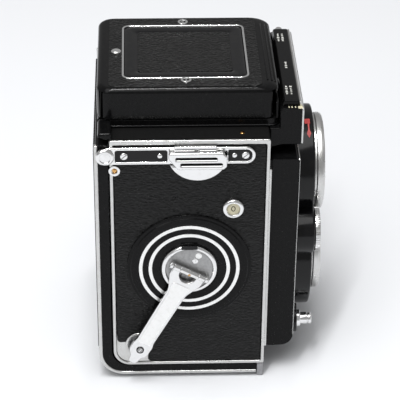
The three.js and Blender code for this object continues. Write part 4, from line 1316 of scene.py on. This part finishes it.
def build_magnifier():
    low, high = extent("magnifier")
    hinge = pivot("magnifier_unfold")
    centre = (hinge.y + high.y) / 2
    outline = rectangle(-15, 15, hinge.y + 0.6, high.y, 2)
    slab("magnifier_frame", [outline, circle(11.4, (0, centre), 80)], low.z, high.z, flat(), 0.3,
         "magnifier_frame", SATIN_BLACK, "magnifier")
    bar("magnifier_rod", 0.85, 69, across((-34.5, hinge.y, hinge.z)), "magnifier_frame", PIN)
    half = (high.z - low.z) / 2
    middle_z = (high.z + low.z) / 2
    steps = [math.cos(i * math.pi / 16) for i in range(9)]
    upper = [(11.3 * s, middle_z + 0.25 + (half - 0.1) * (1 - s * s)) for s in steps]
    lower = [(r, 2 * middle_z - z) for r, z in reversed(upper)]
    done(turned("magnifier_lens", lower + upper, flat((0, centre, 0)), 96), "magnifier_frame", GLASS)
    ring("magnifier_bezel", 10.8, 11.9, high.z - 0.2, high.z + 0.25, flat((0, centre, 0)),
         "magnifier_frame", ALUMINIUM, ease=0.12)


# ---- back door
TRIM_TOP = 127.3
RIB_HEIGHTS = (34, 44)
TRIPOD_HOLE = 12.5
SCREW_CIRCLE = 7.2  # radius of the circle of screws round the tripod thread


def build_door():
    low, high = extent("back_door")
    for label, side in SIDES.items():
        rear, bottom, top = high.y, low.z, TRIM_TOP
        loop = rounded([(rear + 0.5, top, 0.4), (rear - 1.2, top, 0.4),
                        (rear - 1.2, bottom + 1.2, 10.3), (low.y, bottom + 1.2, 0.4),
                        (low.y, bottom - 0.4, 0.4), (rear + 0.5, bottom - 0.4, 11.9)])
        slab(f"{label}_door_trim", [mirrored(list(reversed(loop)), side)], 45.2, 47.5, outward(side),
             0.45, "back", ALUMINIUM)
    leather_low, leather_high = extent("back_leather")
    panel = rectangle(leather_low.x, leather_high.x, leather_low.z, leather_high.z, 3)
    slab("back_panel", [panel], high.y - 0.1, leather_high.y, rearward(), 0.3, "back", LEATHER,
         "back_leather")
    for index, z in enumerate(RIB_HEIGHTS):
        rib = rectangle(-26, 26, z, z + 3, 1.5)
        slab(f"back_rib_{index + 1}", [rib], high.y + 0.2, leather_high.y + 0.3, rearward(), 0.3,
             "back", SATIN_BLACK)
    hole = circle(TRIPOD_HOLE, (0, -14))
    slab("floor_leather", [rectangle(-44, 44, -34, 3.4, 2), hole], -low.z - 0.1, -low.z + 0.35,
         downward(), 0.15, "back", LEATHER)


def build_tripod_seat():
    low, high = extent("tripod_seat")
    place = middle("tripod_seat")
    seat = downward((place.x, place.y, 0))
    outer = (high.x - low.x) / 2
    dish = [(3.5, -high.z), (outer, -high.z), (outer, -low.z - 0.4), (outer - 0.5, -low.z),
            (outer - 2.2, -low.z), (outer - 2.5, -low.z - 0.3), (5.2, -low.z - 0.3), (4.9, -low.z),
            (3.8, -low.z), (3.5, -low.z - 0.3)]
    spin("tripod_flange", dish, seat, "back", SATIN_CHROME, "tripod_seat", ease=0.12)
    for index in range(3):
        angle = math.tau * index / 3 + 0.5
        x, y = SCREW_CIRCLE * math.cos(angle), SCREW_CIRCLE * math.sin(angle)
        slotted_screw(f"tripod_flange_screw_{index + 1}", 1.1, 0.4,
                      downward((place.x + x, place.y + y, low.z + 0.25)), "back")
    thread = []
    for step in range(9):
        thread += [(3.2, -5.6 + step * 0.45), (2.9, -5.375 + step * 0.45)]
    thread += [(3.2, -1.4), (3.5, -1.4), (3.5, -5.6)]
    done(turned("tripod_thread", thread, seat, 64), "back", STEEL)


def build_latch():
    low, high = extent("back_latch")
    outline = rounded([(low.x, low.y, 0.8), (high.x, low.y, 0.8), (high.x, high.y - 3, 3),
                       (high.x - 5, high.y, 3), (low.x + 5, high.y, 3), (low.x, high.y - 3, 3)])
    opening = rounded([(-5, low.y + 4.5, 2), (5, low.y + 4.5, 2), (5, high.y - 3, 2),
                       (-5, high.y - 3, 2)])
    slab("latch_bail", [outline, opening], low.z, high.z, flat(), 0.25, "latch", CHROME, "back_latch")


# ---- the camera as a whole
def build_camera():
    for node, (look, bevel) in KEPT.items():
        finish_kept_node(node, look, bevel)
    for label, side in SIDES.items():
        build_side(label, side)
        build_strap_plate(label, side)
        build_strap_lug(label, side)
    build_corner_plate()
    build_flash_contact()
    build_crank_disc()
    build_crank_hub()
    build_crank_arm()
    build_crank_handle()
    build_counter()
    build_focus_knob()
    for label in ("take_up", "supply"):
        build_spool(label)
        build_spool_knob(label)
    build_lens_cover()
    for name in LENSES:
        build_lens(name)
    for node, body in WHEELS.items():
        build_wheel(node, body)
    build_release()
    build_small_controls()
    build_meter()
    build_lid()
    build_flap()
    build_hood_base()
    build_magnifier()
    build_door()
    build_tripod_seat()
    build_latch()


# ---- studio
FLOOR_HALF = 9  # metres


def build_floor():
    mesh = bpy.data.meshes.new("floor")
    half = FLOOR_HALF
    corners = [(-half, -half, 0), (half, -half, 0), (half, half, 0), (-half, half, 0)]
    mesh.from_pydata(corners, [], [(0, 1, 2, 3)])
    floor = bpy.data.objects.new("floor", mesh)
    link(floor)
    finish = Finish("PaleFloor", (0.76, 0.77, 0.79), 0.9)
    finish.set(Specular_IOR_Level=0.0)
    finish.vary_roughness(finish.noise(80, 3), 0.04)
    mesh.materials.append(finish.material)


LIGHTS = {  # place, target and size in metres, power in watts
    "top": ((-0.5, 0.3, 1.6), (0, 0, 0.07), (1.4, 1.4), 16),
    "side": ((-1.3, 1.0, 1.1), (0, 0, 0.07), (0.7, 0.7), 4),
    "strip": ((-0.25, 0.1, 1.2), (0, 0, 0.1), (0.03, 0.9), 9),
}
SKY_STRENGTH = 0.38


def add_light(name, place, target, size, power):
    light = bpy.data.lights.new(name, "AREA")
    light.shape = "RECTANGLE"
    light.size, light.size_y = size
    light.energy = power
    lamp = bpy.data.objects.new(name, light)
    lamp.location = place
    lamp.rotation_euler = (Vector(place) - Vector(target)).to_track_quat("Z", "Y").to_euler()
    link(lamp)


def build_studio():
    world = bpy.data.worlds.new("studio")
    bpy.context.scene.world = world
    world.use_nodes = True
    sky = world.node_tree.nodes["Background"]
    sky.inputs["Color"].default_value = (1, 1, 1, 1)
    sky.inputs["Strength"].default_value = SKY_STRENGTH
    bpy.context.scene.view_settings.view_transform = "Standard"
    for name, (place, target, size, power) in LIGHTS.items():
        add_light(name, place, target, size, power)


CAMERA_AZIMUTH = math.radians(267.75)
CAMERA_HEIGHT = math.radians(31.88)
CAMERA_ROLL = math.radians(0.52)
CAMERA_DISTANCE = 840.67
CAMERA_TARGET = (0, 4.81, 69.48)
CAMERA_LENS = 158.3
CAMERA_SENSOR = 36


def build_view():
    sin_a, cos_a = math.sin(CAMERA_AZIMUTH), math.cos(CAMERA_AZIMUTH)
    sin_e, cos_e = math.sin(CAMERA_HEIGHT), math.cos(CAMERA_HEIGHT)
    back = Vector((sin_a * cos_e, -cos_a * cos_e, sin_e))
    right = Z.cross(back).normalized()
    up = back.cross(right)
    turned_right = right * math.cos(CAMERA_ROLL) + up * math.sin(CAMERA_ROLL)
    turned_up = up * math.cos(CAMERA_ROLL) - right * math.sin(CAMERA_ROLL)
    place = Vector(CAMERA_TARGET) + back * CAMERA_DISTANCE
    lens = bpy.data.cameras.new("studio_camera")
    lens.lens = CAMERA_LENS
    lens.sensor_width = CAMERA_SENSOR
    lens.clip_start = 0.01
    eye = bpy.data.objects.new("studio_camera", lens)
    eye.matrix_world = basis(turned_right, turned_up, back, place * MM)
    link(eye)
    bpy.context.scene.camera = eye


build_camera()
build_floor()
build_studio()
build_view()
